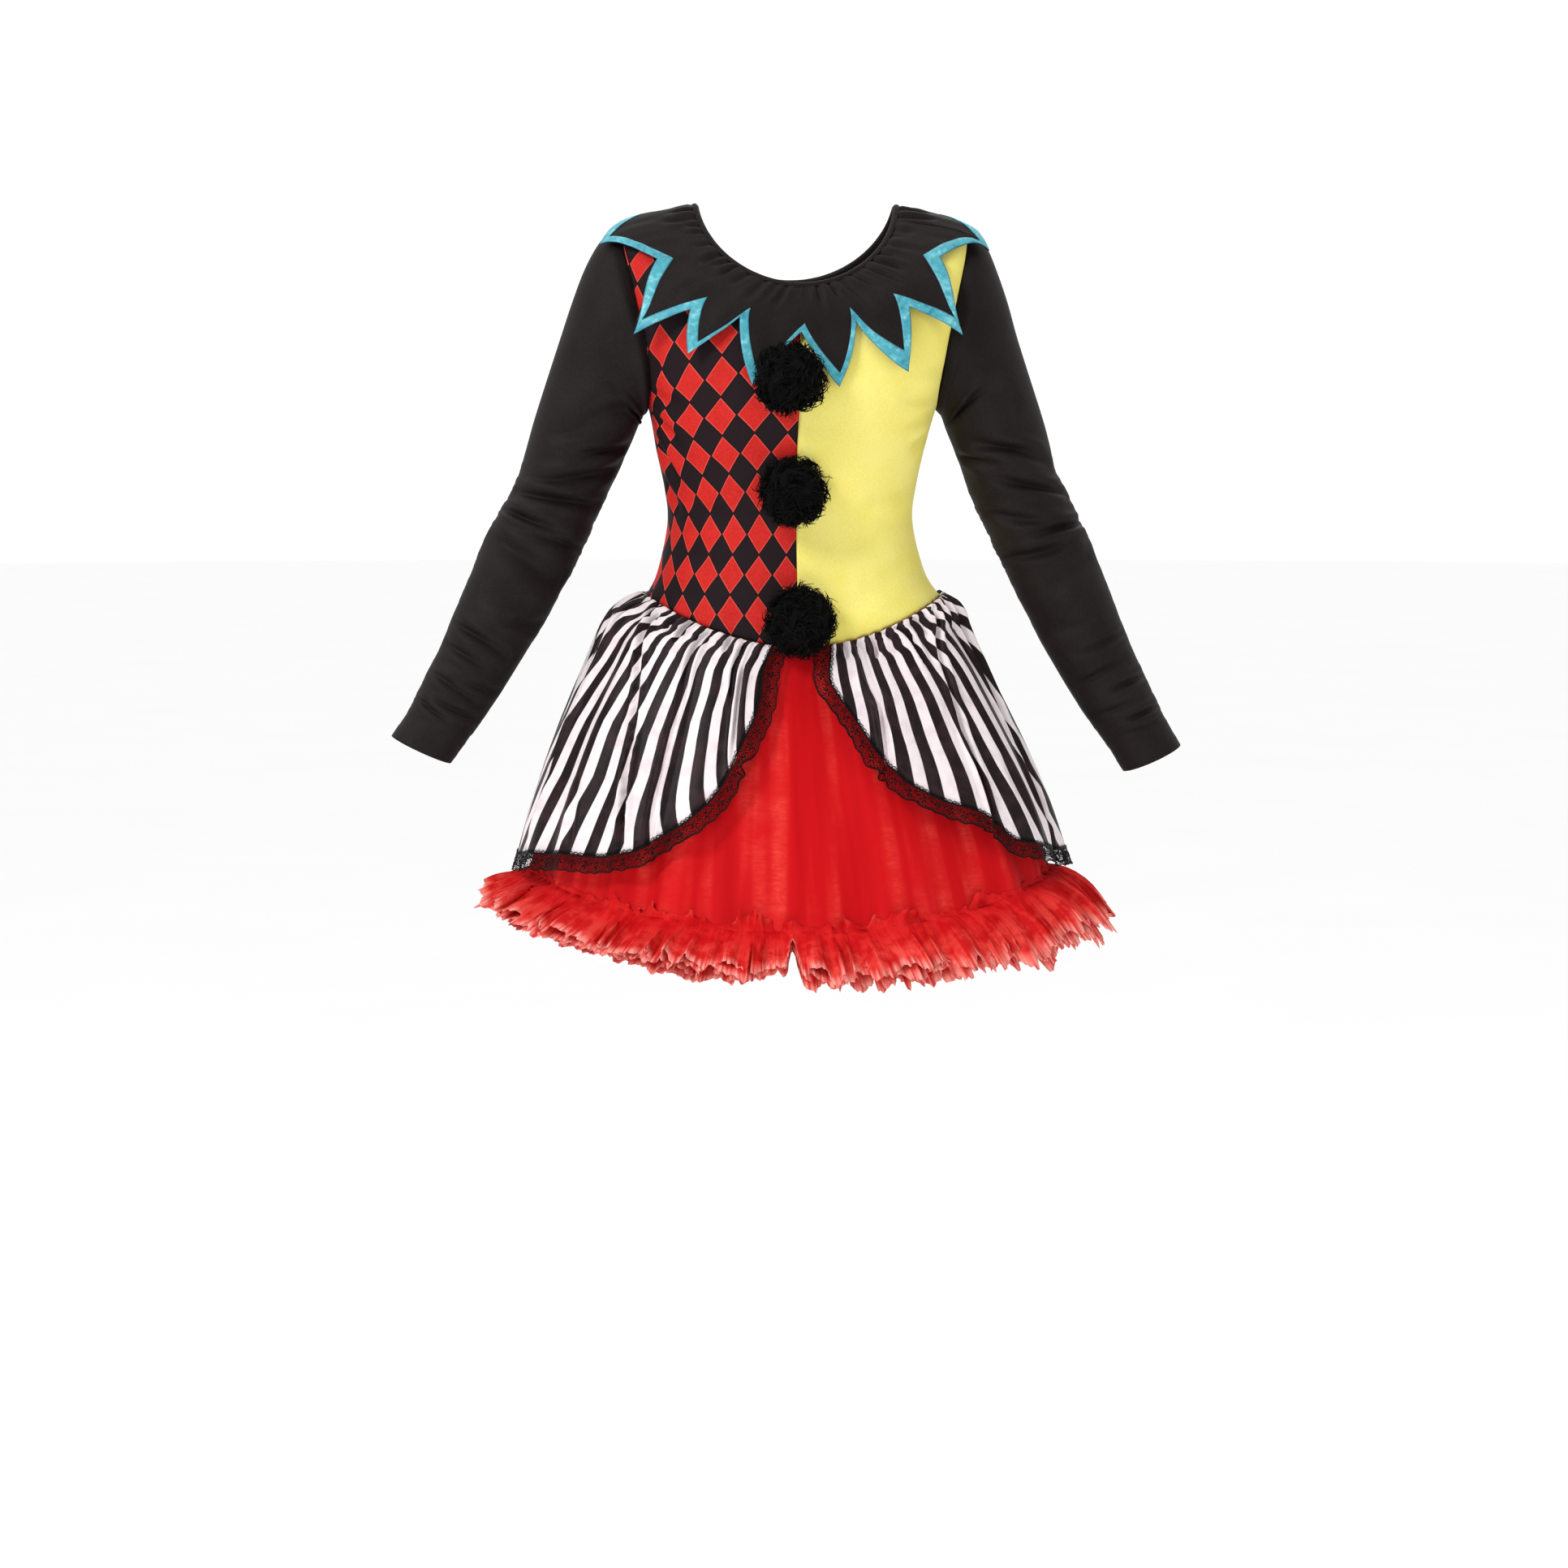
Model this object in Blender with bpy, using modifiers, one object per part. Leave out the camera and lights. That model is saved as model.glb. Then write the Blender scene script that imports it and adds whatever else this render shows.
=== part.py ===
"""A harlequin clown dress as it is worn, with its hollow left open.

A long-sleeved bodice in two colours, a collar of star points edged with ribbon, three pompoms,
a striped peplum trimmed with lace and a red skirt with a two-layer frill at its hem.

The dress faces -Y, the wearer's left is +X and +Z is up. The origin lies midway between the two
points where the neckline crosses the shoulders, and the shoulders are what holds the dress up.
Lengths are in millimetres until a mesh is made, and angles run round the body from centre front
(0 degrees) through the wearer's left side (90) to centre back (180).
"""

import math

import bmesh
import bpy
import numpy as np
from mathutils import Vector

MILLIMETRE = 0.001
WALL = 1.4  # jersey of the bodice and sleeves
COLLAR_WALL = 1.2
SATIN_WALL = 1.1  # peplum
NET_WALL = 1.0  # skirt, frills and lace
SEAM = 0.3  # gap between two pieces at a seam
SEAM_SHIFT = 0.2  # each piece is drawn back this far from the line of a seam
BESIDE_SEAM = math.radians(0.6)

# ---- the cut of the dress ----------------------------------------------------
# A ring runs once round the body. It is half_width wide at the sides, where it lies at side_z,
# and it dips to front_z at centre front and back_z at centre back. A roundness of 1 is an
# ellipse, and a smaller one is squarer. droop is 2 for a ring that dips evenly and less for one
# that dips close to the sides, and lean moves the whole ring towards the wearer's left.
RING_COLUMNS = (
    "half_width", "side_z", "front_y", "front_z", "back_y", "back_z", "roundness", "droop", "lean",
)

BODY_RINGS = (
    (163, -431, -118, -480, 106, -428, 1.00, 2, -1),  # waist seam
    (148, -403, -109, -438, 98, -400, 1.00, 2, -3),  # top of the hips
    (136, -350, -100, -370, 87, -350, 0.97, 2, -4),  # waist
    (139, -312, -104, -318, 90, -312, 0.95, 2, -4),  # ribs
    (148, -270, -114, -268, 97, -270, 0.93, 2, -4),  # under the bust
    (158, -226, -122, -219, 103, -226, 0.90, 2, -2),  # bust and armpits
    (179, -162, -119, -177, 105, -178, 0.86, 1.75, 0),  # chest
    (194, -90, -110, -148, 103, -151, 0.86, 1.65, 0),  # shoulder point, side of the arm
    (192, -29, -101, -125, 98, -126, 0.90, 1.45, 0),  # end of the shoulder seam
    (150, -14, -92, -106, 91, -102, 0.95, 1.25, 1),  # middle of the shoulder seam
    (109, -3, -84, -90, 82, -80, 1.00, 1.05, 2),  # neckline
)
NECKLINE_ROW = len(BODY_RINGS) - 1
RIDGE = 0.1  # how broadly a ring is rounded where its front and back meet at the sides

# The armhole is an oval on the body, about the side line, in rows of BODY_RINGS and degrees.
ARMHOLE_ROW = 6.55
ARMHOLE_HALF_ROWS = 1.5
ARMHOLE_FRONT_BITE = math.radians(28)
ARMHOLE_BACK_BITE = math.radians(26)
# Columns of a panel between its two seams: a narrow one beside a seam keeps its wall square to it.
PANEL_COLUMNS = (0, 0.03, 0.2, 0.4, 0.6, 0.8, 0.97, 1)
SLEEVE_COLUMNS = 16  # points round a sleeve, and so round an armhole
SLEEVE_GAP_ROWS = 0.012  # the sleeve's edge lies this far inside the armhole's
SLEEVE_GAP_ANGLE = math.radians(0.2)

# Sections of a sleeve, from the armhole to the cuff: the outer and inner side of the arm as
# seen from in front, the half depth from front to back, and how far forward the middle lies.
SLEEVE_RING_COLUMNS = ("outer_x", "outer_z", "inner_x", "inner_z", "half_depth", "forward", "armhole_share")
RIGHT_SLEEVE = (
    (204, -33, 163.5, -228, 61, 0, 0.85),
    (216, -46, 167, -231, 60, 0, 0.60),
    (230, -72, 169, -235, 59, 0, 0.40),
    (243, -106, 171, -239, 58, 0, 0.22),
    (257, -148, 174, -245, 56, 0, 0.10),
    (283, -228, 184, -268, 53, 0, 0),
    (292, -259, 191, -284, 52, 0, 0),
    (300, -287, 204, -312, 50, 1, 0),
    (308, -308, 217, -340, 48, 3, 0),
    (321, -333, 232, -373, 48, 7, 0),
    (337, -360, 247, -404, 47, 12, 0),
    (363, -422, 280, -463, 44, 24, 0),
    (377, -456, 300, -495, 42, 30, 0),
    (391, -489, 320, -527, 39, 36, 0),
    (408, -522, 340, -557, 37, 41, 0),
    (421, -549, 359, -583, 35, 45, 0),
    (441, -580, 379, -609, 34, 49, 0),
)
LEFT_SLEEVE = (
    (204, -35, 163, -229, 61, 0, 0.85),
    (214, -47, 165, -231, 60, 0, 0.60),
    (226, -76, 167, -236, 59, 0, 0.40),
    (237, -108, 169, -242, 58, 0, 0.22),
    (249, -150, 172, -249, 56, 0, 0.10),
    (275, -230, 181, -272, 53, 0, 0),
    (284, -262, 187, -288, 52, 0, 0),
    (291, -292, 197, -318, 50, 1, 0),
    (304, -317, 208, -343, 48, 3, 0),
    (315, -343, 224, -378, 48, 7, 0),
    (329, -372, 239, -410, 47, 12, 0),
    (352, -434, 270, -474, 44, 24, 0),
    (363, -465, 287, -505, 42, 30, 0),
    (376, -497, 305, -536, 39, 36, 0),
    (391, -530, 324, -566, 37, 41, 0),
    (405, -560, 343, -592, 35, 45, 0),
    (424, -595, 363, -623, 34, 49, 0),
)

# The collar lies on the shoulders and over the heads of the sleeves.
COLLAR_RINGS = (
    (109, -0.8, -86.0, -89.4, 84.0, -79.4, 1.00, 1.05, 2),
    (150, -10.2, -95.4, -105, 94.4, -101, 0.94, 1.25, 1),
    (193, -22, -106, -125, 103, -126, 0.88, 1.45, 0),
    (217, -39, -115, -149, 108.5, -152, 0.86, 1.65, 0),
    (234, -66, -124.5, -178, 110.5, -180, 0.86, 1.75, 0),
    (246, -100, -127, -214, 109, -214, 0.90, 1.9, 0),
    (254, -136, -129, -250, 110, -250, 0.90, 2, 0),
)
# The corners of the collar's outline, valley and tip in turn, from centre front by the wearer's
# left: the angle of each, how far it reaches from the neckline, and how many degrees the middle
# of the flank that follows it bends sideways.
COLLAR_CORNER_COLUMNS = ("angle", "reach", "sideways")
COLLAR_CORNERS = (
    (0, 60.5, -0.8), (7.6, 125, 0), (13.6, 60.3, -1.7), (25.6, 139.3, -0.9), (30.6, 76.7, 0),
    (44.2, 145, -4.3), (54.8, 66.7, 4.8), (73, 113, 0), (90, 66, 0), (106, 114, 0),
    (121, 62, 0), (136, 118, 0), (151, 60, 0), (166, 120, 0), (180, 58, 0), (194, 118, 0),
    (209, 61, 0), (224, 116, 0), (239, 60, 0), (254, 115, 0), (268, 64, 0), (283, 116, -1.9),
    (306.8, 70, 3.8), (315, 150.7, 0), (329.8, 83.3, 0), (332.6, 127.7, 0.5), (344.4, 60.7, 0),
    (349.6, 129.3, 0),
)
RIBBON_WIDTH = 8.5
RIBBON_LIFT = 0.4
RIBBON_DEEPEST = 22.0  # along the collar, where its edge is steep
COLLAR_GATHERS = 28
COLLAR_GATHER_DEPTH = 1.6
COLUMNS_PER_FLANK = 3

BINDING_WIDTH = 6.0
BINDING_LIFT = 2.1  # above the collar

# Peplum and skirt, from the waist seam down. Folds of the peplum stand out from its rings, and
# folds of the skirt fall in from its own.
PEPLUM_RINGS = (
    (163, -431.7, -118, -480.7, 106, -428.7, 1, 2, -1),
    (181, -443, -126, -495, 124, -440, 1, 2, -6),
    (194, -466, -139, -519, 144, -462, 1, 2, -11),
    (217, -512, -162, -565, 168, -507, 1, 2, -9),
    (252, -585, -194, -637, 197, -578, 1, 2, -7),
    (279, -655, -223, -706, 223, -648, 1, 2, -4),
    (298, -719, -246, -768, 243, -711, 1, 2, -2.5),
)
SKIRT_RINGS = (
    (160.5, -432.7, -115.5, -482.2, 103.5, -430.2, 1, 2, -1),
    (176, -448, -122, -500, 119, -446, 1, 2, -6),
    (188, -474, -133, -527, 137, -470, 1, 2, -10),
    (211, -520, -156, -573, 161, -515, 1, 2, -8),
    (246, -592, -187, -644, 189, -586, 1, 2, -6),
    (274, -666, -218, -714, 216, -660, 1, 2, -4),
    (296, -740, -250, -774, 243, -732, 1, 2, -2.5),
)
PEPLUM_FOLDS = 24
PEPLUM_FOLD_DEPTH = 13.0
FRONT_PEPLUM_COLUMNS = 25
BACK_PEPLUM_COLUMNS = 45
SKIRT_FOLDS = 16
SKIRT_FOLD_DEPTH = 14.0
SKIRT_COLUMNS = 33
FRILL_LIFT = 0.9  # of the upper frill's head above the skirt

# The lower edge of a front of the peplum, from its open front edge to the side seam: how far
# down the cloth comes, in rows, against the angle from centre front.
PEPLUM_EDGE_COLUMNS = ("angle", "row")
PEPLUM_EDGE_LEFT = (
    (11.5, 2.1), (13.8, 2.52), (17.8, 3.05), (21.3, 3.5), (27, 3.99), (32.5, 4.24), (39.5, 4.5),
    (46, 4.75), (50, 5.0), (54, 5.3), (62.5, 5.57), (76, 5.85), (90, 6),
)
PEPLUM_EDGE_RIGHT = (
    (9.8, 2.39), (11.8, 2.91), (15.5, 3.44), (18.5, 3.85), (22, 4.19), (26.5, 4.51), (32.5, 4.8),
    (38.3, 5.14), (46, 5.37), (60.8, 5.6), (76, 5.85), (90, 6),
)

LACE_WIDTH = 18.0
LACE_OVERLAP = 2.5
LACE_LIFT = 0.45
LACE_BELOW_WAIST = 0.4  # of its first repeat
LACE_SCALLOP = 0.1  # of the width, in and out
# Each repeat of the lace has one eyelet: its limits as shares of the repeat and of the width.
EYELET_LEAST = 8.0  # along the strip
EYELET_ALONG = (0.28, 0.72)
EYELET_ACROSS = (0.4, 0.74)

# Rings of the frills below the skirt's hem. The hem tips down towards the wearer's left.
FRILL_UPPER_RINGS = (
    (312, -749, -264, -783, 258, -741, 1, 2, -2),
    (343, -775, -293, -804, 289, -767, 1, 2, 0),
)
FRILL_LOWER_RINGS = (
    (304, -764, -256, -794, 250, -756, 1, 2, -2),
    (326, -787, -278, -819, 273, -779, 1, 2, 0),
)
FRILL_TILT = 0.034
FRILL_HEAD = 8.0  # how far the upper frill's head laps over the skirt
FRILL_WAVE_DEPTH = 7.0

# Pompoms on the centre front: height, how far they stand off, and size.
POMPOM_COLUMNS = ("name", "height", "to_the_left", "stand_off", "radius")
POMPOMS = (
    ("pompom_top", -194, -9, 0.0, 40),
    ("pompom_middle", -310, -4, 0.5, 39),
    ("pompom_bottom", -456, 0, 0.7, 40),
)
POMPOM_CORE = 0.72  # of the pompom's radius
POMPOM_BACK = 0.45  # the side against the cloth is pressed flatter
POMPOM_SEAT = 0.25  # locks further back than this share of the radius are stubs
POMPOM_STUB = 0.03

COLOURS = {
    "black_jersey": (0.012, 0.011, 0.012, 1, 0.85),
    "diamond_jersey": (0.42, 0.02, 0.018, 1, 0.8),
    "yellow_jersey": (0.86, 0.75, 0.16, 1, 0.8),
    "blue_ribbon": (0.07, 0.42, 0.56, 1, 0.5),
    "black_fur": (0.005, 0.005, 0.005, 1, 0.9),
    "striped_satin": (0.55, 0.5, 0.53, 1, 0.4),
    "black_lace": (0.01, 0.008, 0.01, 1, 0.6),
    "red_net": (0.62, 0.01, 0.012, 1, 0.5),
}


# ---- surfaces ----------------------------------------------------------------
def smooth_rows(table, at):
    """Every column of a table at fractional row numbers, on a Catmull-Rom curve."""
    rows = np.array(table, float)
    at = np.clip(at, 0, len(rows) - 1)
    low = np.clip(np.floor(at).astype(int), 0, len(rows) - 2)
    share = (at - low)[..., None]
    first, second = rows[low], rows[low + 1]
    before = np.where((low == 0)[..., None], 2 * first - second, rows[np.maximum(low - 1, 0)])
    after = np.where(
        (low == len(rows) - 2)[..., None], 2 * second - first, rows[np.minimum(low + 2, len(rows) - 1)]
    )
    cubic = 3 * (first - second) + after - before
    square = 2 * before - 5 * first + 4 * second - after
    return first + 0.5 * share * (second - before + share * (square + share * cubic))


def ring_point(table, angle, at):
    """The point of a ring surface at an angle round the body and a fractional row."""
    angle, at = np.broadcast_arrays(np.asarray(angle, float), np.asarray(at, float))
    half_width, side_z, front_y, front_z, back_y, back_z, roundness, droop, lean = np.moveaxis(
        smooth_rows(table, at), -1, 0
    )
    sine, cosine = np.sin(angle), np.cos(angle)
    dip = (np.sqrt(cosine**2 + RIDGE**2) - RIDGE) / (math.sqrt(1 + RIDGE**2) - RIDGE)
    depth = np.where(cosine >= 0, front_y, back_y)
    lowest = np.where(cosine >= 0, front_z, back_z)
    return np.stack(
        [
            lean + half_width * np.sign(sine) * np.abs(sine) ** roundness,
            depth * np.abs(cosine) ** roundness,
            side_z + (lowest - side_z) * dip**droop,
        ],
        axis=-1,
    )


def ring_normal(table, angle, at, rows_fall=True):
    """The outward unit normal of a ring surface, from short steps along both directions."""
    turn, step = 0.01, 0.02
    along = ring_point(table, angle + turn, at) - ring_point(table, angle - turn, at)
    down = ring_point(table, angle, at + step) - ring_point(table, angle, at - step)
    normal = np.cross(down, along) if rows_fall else np.cross(along, down)
    return normal / np.maximum(np.linalg.norm(normal, axis=-1, keepdims=True), 1e-9)


def uneven(index, salt):
    """A steady irregularity between -1 and 1 for each whole number."""
    wave = np.sin(np.asarray(index, float) * 12.9898 + salt * 78.233) * 43758.5453
    return 2 * (wave - np.floor(wave)) - 1


def fold_wave(angle, count, salt):
    """Soft folds round the body, 0 in the hollows and 1 on the ridges, unevenly spaced."""
    phase = count * angle + 1.6 * np.sin(3 * angle + salt) + 0.9 * np.sin(7 * angle + 2.1 * salt)
    strength = 0.78 + 0.22 * np.sin(5 * angle + 1.7 * salt)
    return strength * (0.5 + 0.5 * np.cos(phase))


# ---- meshes ------------------------------------------------------------------
def material_of(name):
    """The material of that name, made on first use."""
    if name in bpy.data.materials:
        return bpy.data.materials[name]
    red, green, blue, alpha, roughness = COLOURS[name]
    material = bpy.data.materials.new(name)
    material.use_nodes = True
    shader = material.node_tree.nodes["Principled BSDF"]
    shader.inputs["Base Color"].default_value = (red, green, blue, alpha)
    shader.inputs["Roughness"].default_value = roughness
    shader.inputs["Metallic"].default_value = 0.0
    material.diffuse_color = (red, green, blue, alpha)
    return material


def add_object(name, mesh, material, collection):
    """Links a mesh to the dress's collection as one named piece."""
    mesh.materials.append(material_of(material))
    piece = bpy.data.objects.new(name, mesh)
    collection.objects.link(piece)
    return piece


def grid_faces(rows, columns, closed, rows_fall):
    """The quads of a grid of points, facing out of the body."""
    quads = []
    for row in range(rows - 1):
        for column in range(columns if closed else columns - 1):
            right = (column + 1) % columns
            corners = (
                row * columns + column,
                row * columns + right,
                (row + 1) * columns + right,
                (row + 1) * columns + column,
            )
            quads.append(corners[::-1] if rows_fall else corners)
    return quads


def sheet(name, points, faces, thickness, material, collection):
    """A sheet of cloth through points in millimetres, with its wall added inside them."""
    mesh = bpy.data.meshes.new(name)
    mesh.from_pydata((points.reshape(-1, 3) * MILLIMETRE).tolist(), [], faces)
    piece = add_object(name, mesh, material, collection)
    wall = piece.modifiers.new("wall", "SOLIDIFY")
    wall.thickness = thickness * MILLIMETRE
    wall.offset = -1
    return piece


def cloth(name, points, thickness, material, collection, rows_fall=True, closed=False, split=False):
    """A sheet of cloth through a grid of points, which may close into a tube.

    split divides every quad along its shorter diagonal, so that two layers stay parallel.
    """
    faces = grid_faces(points.shape[0], points.shape[1], closed, rows_fall)
    if split:
        flat = points.reshape(-1, 3)
        faces = [
            face
            for a, b, c, d in faces
            for face in (
                ((a, b, c), (a, c, d))
                if np.linalg.norm(flat[a] - flat[c]) < np.linalg.norm(flat[b] - flat[d])
                else ((a, b, d), (b, c, d))
            )
        ]
    return sheet(name, points, faces, thickness, material, collection)


# ---- bodice ------------------------------------------------------------------
def armhole(turn, gap_rows=0.0, gap_angle=0.0):
    """Angle and row of points on the armhole: turn 0 is its top, 90 its front, 180 its foot."""
    sine = np.sin(turn)
    bite = np.where(sine >= 0, ARMHOLE_FRONT_BITE, ARMHOLE_BACK_BITE) - gap_angle
    return math.pi / 2 - bite * sine, ARMHOLE_ROW + (ARMHOLE_HALF_ROWS - gap_rows) * np.cos(turn)


def bodice_panel(name, side, front, material, collection):
    """A quarter of the bodice, from the waist seam to the neckline, cut away at the armhole.

    side is 1 for the wearer's left and -1 for the right; front says which half of the body.
    """
    foot, top = ARMHOLE_ROW - ARMHOLE_HALF_ROWS, ARMHOLE_ROW + ARMHOLE_HALF_ROWS
    turns = np.linspace(math.pi, 0, SLEEVE_COLUMNS // 2 + 1)
    hole_angles, hole_rows = armhole(turns if front else -turns)
    below = np.linspace(0, foot, 6)[:-1]
    above = np.linspace(top, NECKLINE_ROW, 4)[1:]
    side_line = math.pi / 2
    rows = np.concatenate([below, hole_rows, above])
    edges = np.concatenate([np.full(len(below), side_line), hole_angles, np.full(len(above), side_line)])
    share = np.array(PANEL_COLUMNS)
    middle = 0 if front else math.pi
    angles = middle + (edges[:, None] - middle) * share
    points = ring_point(BODY_RINGS, side * angles, rows[:, None])
    points[..., 0] += SEAM_SHIFT * side * (1 - share)
    points[..., 1] += SEAM_SHIFT * share * (-1 if front else 1)
    if front != (side > 0):
        points = points[:, ::-1]
    return cloth(name, points, WALL, material, collection, rows_fall=False)


def sleeve(name, side, table, collection):
    """A sleeve, from the armhole's own outline to an open cuff."""
    turns = np.arange(SLEEVE_COLUMNS) * 2 * math.pi / SLEEVE_COLUMNS
    hole_angles, hole_rows = armhole(turns, SLEEVE_GAP_ROWS, SLEEVE_GAP_ANGLE)
    edge = ring_point(BODY_RINGS, side * hole_angles, hole_rows) * (side, 1, 1)
    half = SLEEVE_COLUMNS // 2
    edge_middle = (edge[0] + edge[half]) / 2
    edge_reach = (edge[0] - edge[half]) / 2
    edge_depth = np.array([0, (edge[half // 2, 1] - edge[-half // 2, 1]) / 2, 0])
    cosine, sine = np.cos(turns)[:, None], np.sin(turns)[:, None]
    bend = edge - (edge_middle + edge_reach * cosine + edge_depth * sine)
    rings = [edge]
    for outer_x, outer_z, inner_x, inner_z, half_depth, forward, armhole_share in table:
        outer, inner = np.array([outer_x, -forward, outer_z]), np.array([inner_x, -forward, inner_z])
        depth = np.array([0, -half_depth, 0])
        middle, reach = (outer + inner) / 2, (outer - inner) / 2
        rings.append(middle + reach * cosine + depth * sine + bend * armhole_share)
    points = np.array(rings)
    if side < 0:
        points = points[:, ::-1] * (-1, 1, 1)
    return cloth(name, points, WALL, "black_jersey", collection, rows_fall=False, closed=True)


# ---- collar ------------------------------------------------------------------
def collar_outline():
    """Angle, reach and ribbon depth of points along the collar's edge, once round."""
    corners = [(math.radians(row[0]), row[1]) for row in COLLAR_CORNERS]
    angles, reaches, depths = [], [], []
    ends = zip(corners, corners[1:] + corners[:1], COLLAR_CORNERS)
    for (angle, reach), (next_angle, next_reach), (_, _, sideways) in ends:
        turn = (next_angle - angle) % (2 * math.pi)
        middle = np.array([-0.5, 0.5]) * turn + angle + turn / 2
        across = np.linalg.norm(np.diff(collar_point(middle, (reach + next_reach) / 2), axis=0))
        depth = RIBBON_WIDTH * math.hypot(across, next_reach - reach) / across
        for share in np.arange(COLUMNS_PER_FLANK) / COLUMNS_PER_FLANK:
            bend = math.radians(sideways) * 4 * share * (1 - share)
            angles.append(angle + turn * share + bend)
            reaches.append(reach + (next_reach - reach) * share)
            depths.append(depth)
    depths = np.minimum(depths, RIBBON_DEEPEST)
    corner = np.arange(len(depths)) % COLUMNS_PER_FLANK == 0
    depths = np.where(corner, (depths + np.roll(depths, 1)) / 2, depths)
    return np.array(angles), np.array(reaches), depths


def collar_point(angle, reach, lift=0.0):
    """The point of the collar at an angle, that many millimetres from the neckline along it."""
    fine = np.linspace(0, len(COLLAR_RINGS) - 1, 61)
    angle, reach = np.broadcast_arrays(angle, reach)
    flat_angle, flat_reach = angle.ravel(), reach.ravel()
    rows = np.empty(len(flat_angle))
    for i, (turn, wanted) in enumerate(zip(flat_angle, flat_reach)):
        line = ring_point(COLLAR_RINGS, turn, fine)
        gone = np.concatenate([[0], np.cumsum(np.linalg.norm(np.diff(line, axis=0), axis=1))])
        rows[i] = np.interp(wanted, gone, fine)
    rows = rows.reshape(angle.shape)
    gathers = 0.5 + 0.5 * np.cos(COLLAR_GATHERS * angle)
    fade = np.clip((reach - BINDING_WIDTH) / 6, 0, 1) * np.clip((52 - reach) / 26, 0, 1)
    lifted = lift + COLLAR_GATHER_DEPTH * gathers * fade
    return ring_point(COLLAR_RINGS, angle, rows) + ring_normal(COLLAR_RINGS, angle, rows) * lifted[..., None]


def grid_normals(points):
    """Outward unit normals at the points of a closed ring of cloth whose rows fall."""
    along = np.roll(points, -1, axis=1) - np.roll(points, 1, axis=1)
    normal = np.cross(np.gradient(points, axis=0), along)
    return normal / np.linalg.norm(normal, axis=-1, keepdims=True)


def collar_pieces(collection):
    """The collar, the ribbon along its points and the binding at the neckline."""
    angles, reaches, depths = collar_outline()
    inner = np.maximum(reaches - depths, 12)
    shares = np.array([0, 0.33, 0.67, 1.0])[:, None]
    rows = np.concatenate([inner * shares, reaches[None]])
    rows[0] = 0
    points = collar_point(np.broadcast_to(angles, rows.shape), rows)
    cloth("collar", points, COLLAR_WALL, "black_jersey", collection, closed=True, split=True)
    ribbon = (points + grid_normals(points) * (NET_WALL + RIBBON_LIFT))[-2:]
    cloth("collar_ribbon", ribbon, NET_WALL, "blue_ribbon", collection, closed=True, split=True)
    around = angles
    band = np.array([0.0, BINDING_WIDTH])[:, None]
    binding = collar_point(*np.broadcast_arrays(around, band), BINDING_LIFT)
    cloth("neck_binding", binding, NET_WALL, "black_jersey", collection, closed=True)


# ---- peplum, lace, skirt and frills --------------------------------------------
def peplum_point(angle, row, lift=0.0):
    """The peplum's outer surface, with folds that grow from the waist seam to the hem."""
    down = np.clip(row / (len(PEPLUM_RINGS) - 1), 0, 1.2)
    depth = PEPLUM_FOLD_DEPTH * np.clip(row / 1.5, 0, 1) * (0.35 + 0.65 * down)
    stand = depth * fold_wave(angle, PEPLUM_FOLDS, 0.7) + lift
    base = ring_point(PEPLUM_RINGS, angle, row)
    return base + ring_normal(PEPLUM_RINGS, angle, row) * stand[..., None]


def skirt_point(angle, row):
    """The skirt's outer surface, with folds that fall in from its rings."""
    down = row / (len(SKIRT_RINGS) - 1)
    depth = SKIRT_FOLD_DEPTH * down**1.2
    fall = -depth * (1 - fold_wave(angle, SKIRT_FOLDS, 2.3))
    base = ring_point(SKIRT_RINGS, angle, row)
    return base + ring_normal(SKIRT_RINGS, angle, row) * fall[..., None]


def front_peplum_grid(edge_table, rows):
    """Angles and rows of a front peplum panel, evenly divided along its curved lower edge."""
    edge = np.array(edge_table, float)
    fine = np.radians(np.linspace(edge[0, 0], 90, 400))
    foot = np.interp(np.degrees(fine), edge[:, 0], edge[:, 1])
    line = ring_point(PEPLUM_RINGS, fine, foot)
    gone = np.concatenate([[0], np.cumsum(np.linalg.norm(np.diff(line, axis=0), axis=1))])
    steps = np.linspace(0, gone[-1], FRONT_PEPLUM_COLUMNS)
    steps = np.insert(steps, -1, gone[-1] - BESIDE_SEAM * PEPLUM_RINGS[-1][0])
    angles, foot = np.interp(steps, gone, fine), np.interp(steps, gone, foot)
    shares = np.linspace(0, 1, rows)[:, None] ** 1.2
    return np.broadcast_to(angles, (rows, len(angles))), foot * shares


def half_grid(columns, rows, last_row, start=math.pi / 2):
    """Angles and rows of half a skirt, with a narrow column beside each side seam."""
    angles = start + np.linspace(0, math.pi, columns)
    angles = np.insert(angles, [1, columns - 1], [angles[0] + BESIDE_SEAM, angles[-1] - BESIDE_SEAM])
    shares = np.linspace(0, 1, rows)[:, None] ** 1.2
    return np.broadcast_to(angles, (rows, len(angles))), last_row * shares * np.ones_like(angles)


def part_sides(points, angles, towards):
    """Draws a piece back from the side seams, towards the front (-1) or the back (1)."""
    points[..., 1] += towards * SEAM_SHIFT * np.abs(np.sin(angles)) ** 60
    return points


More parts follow.
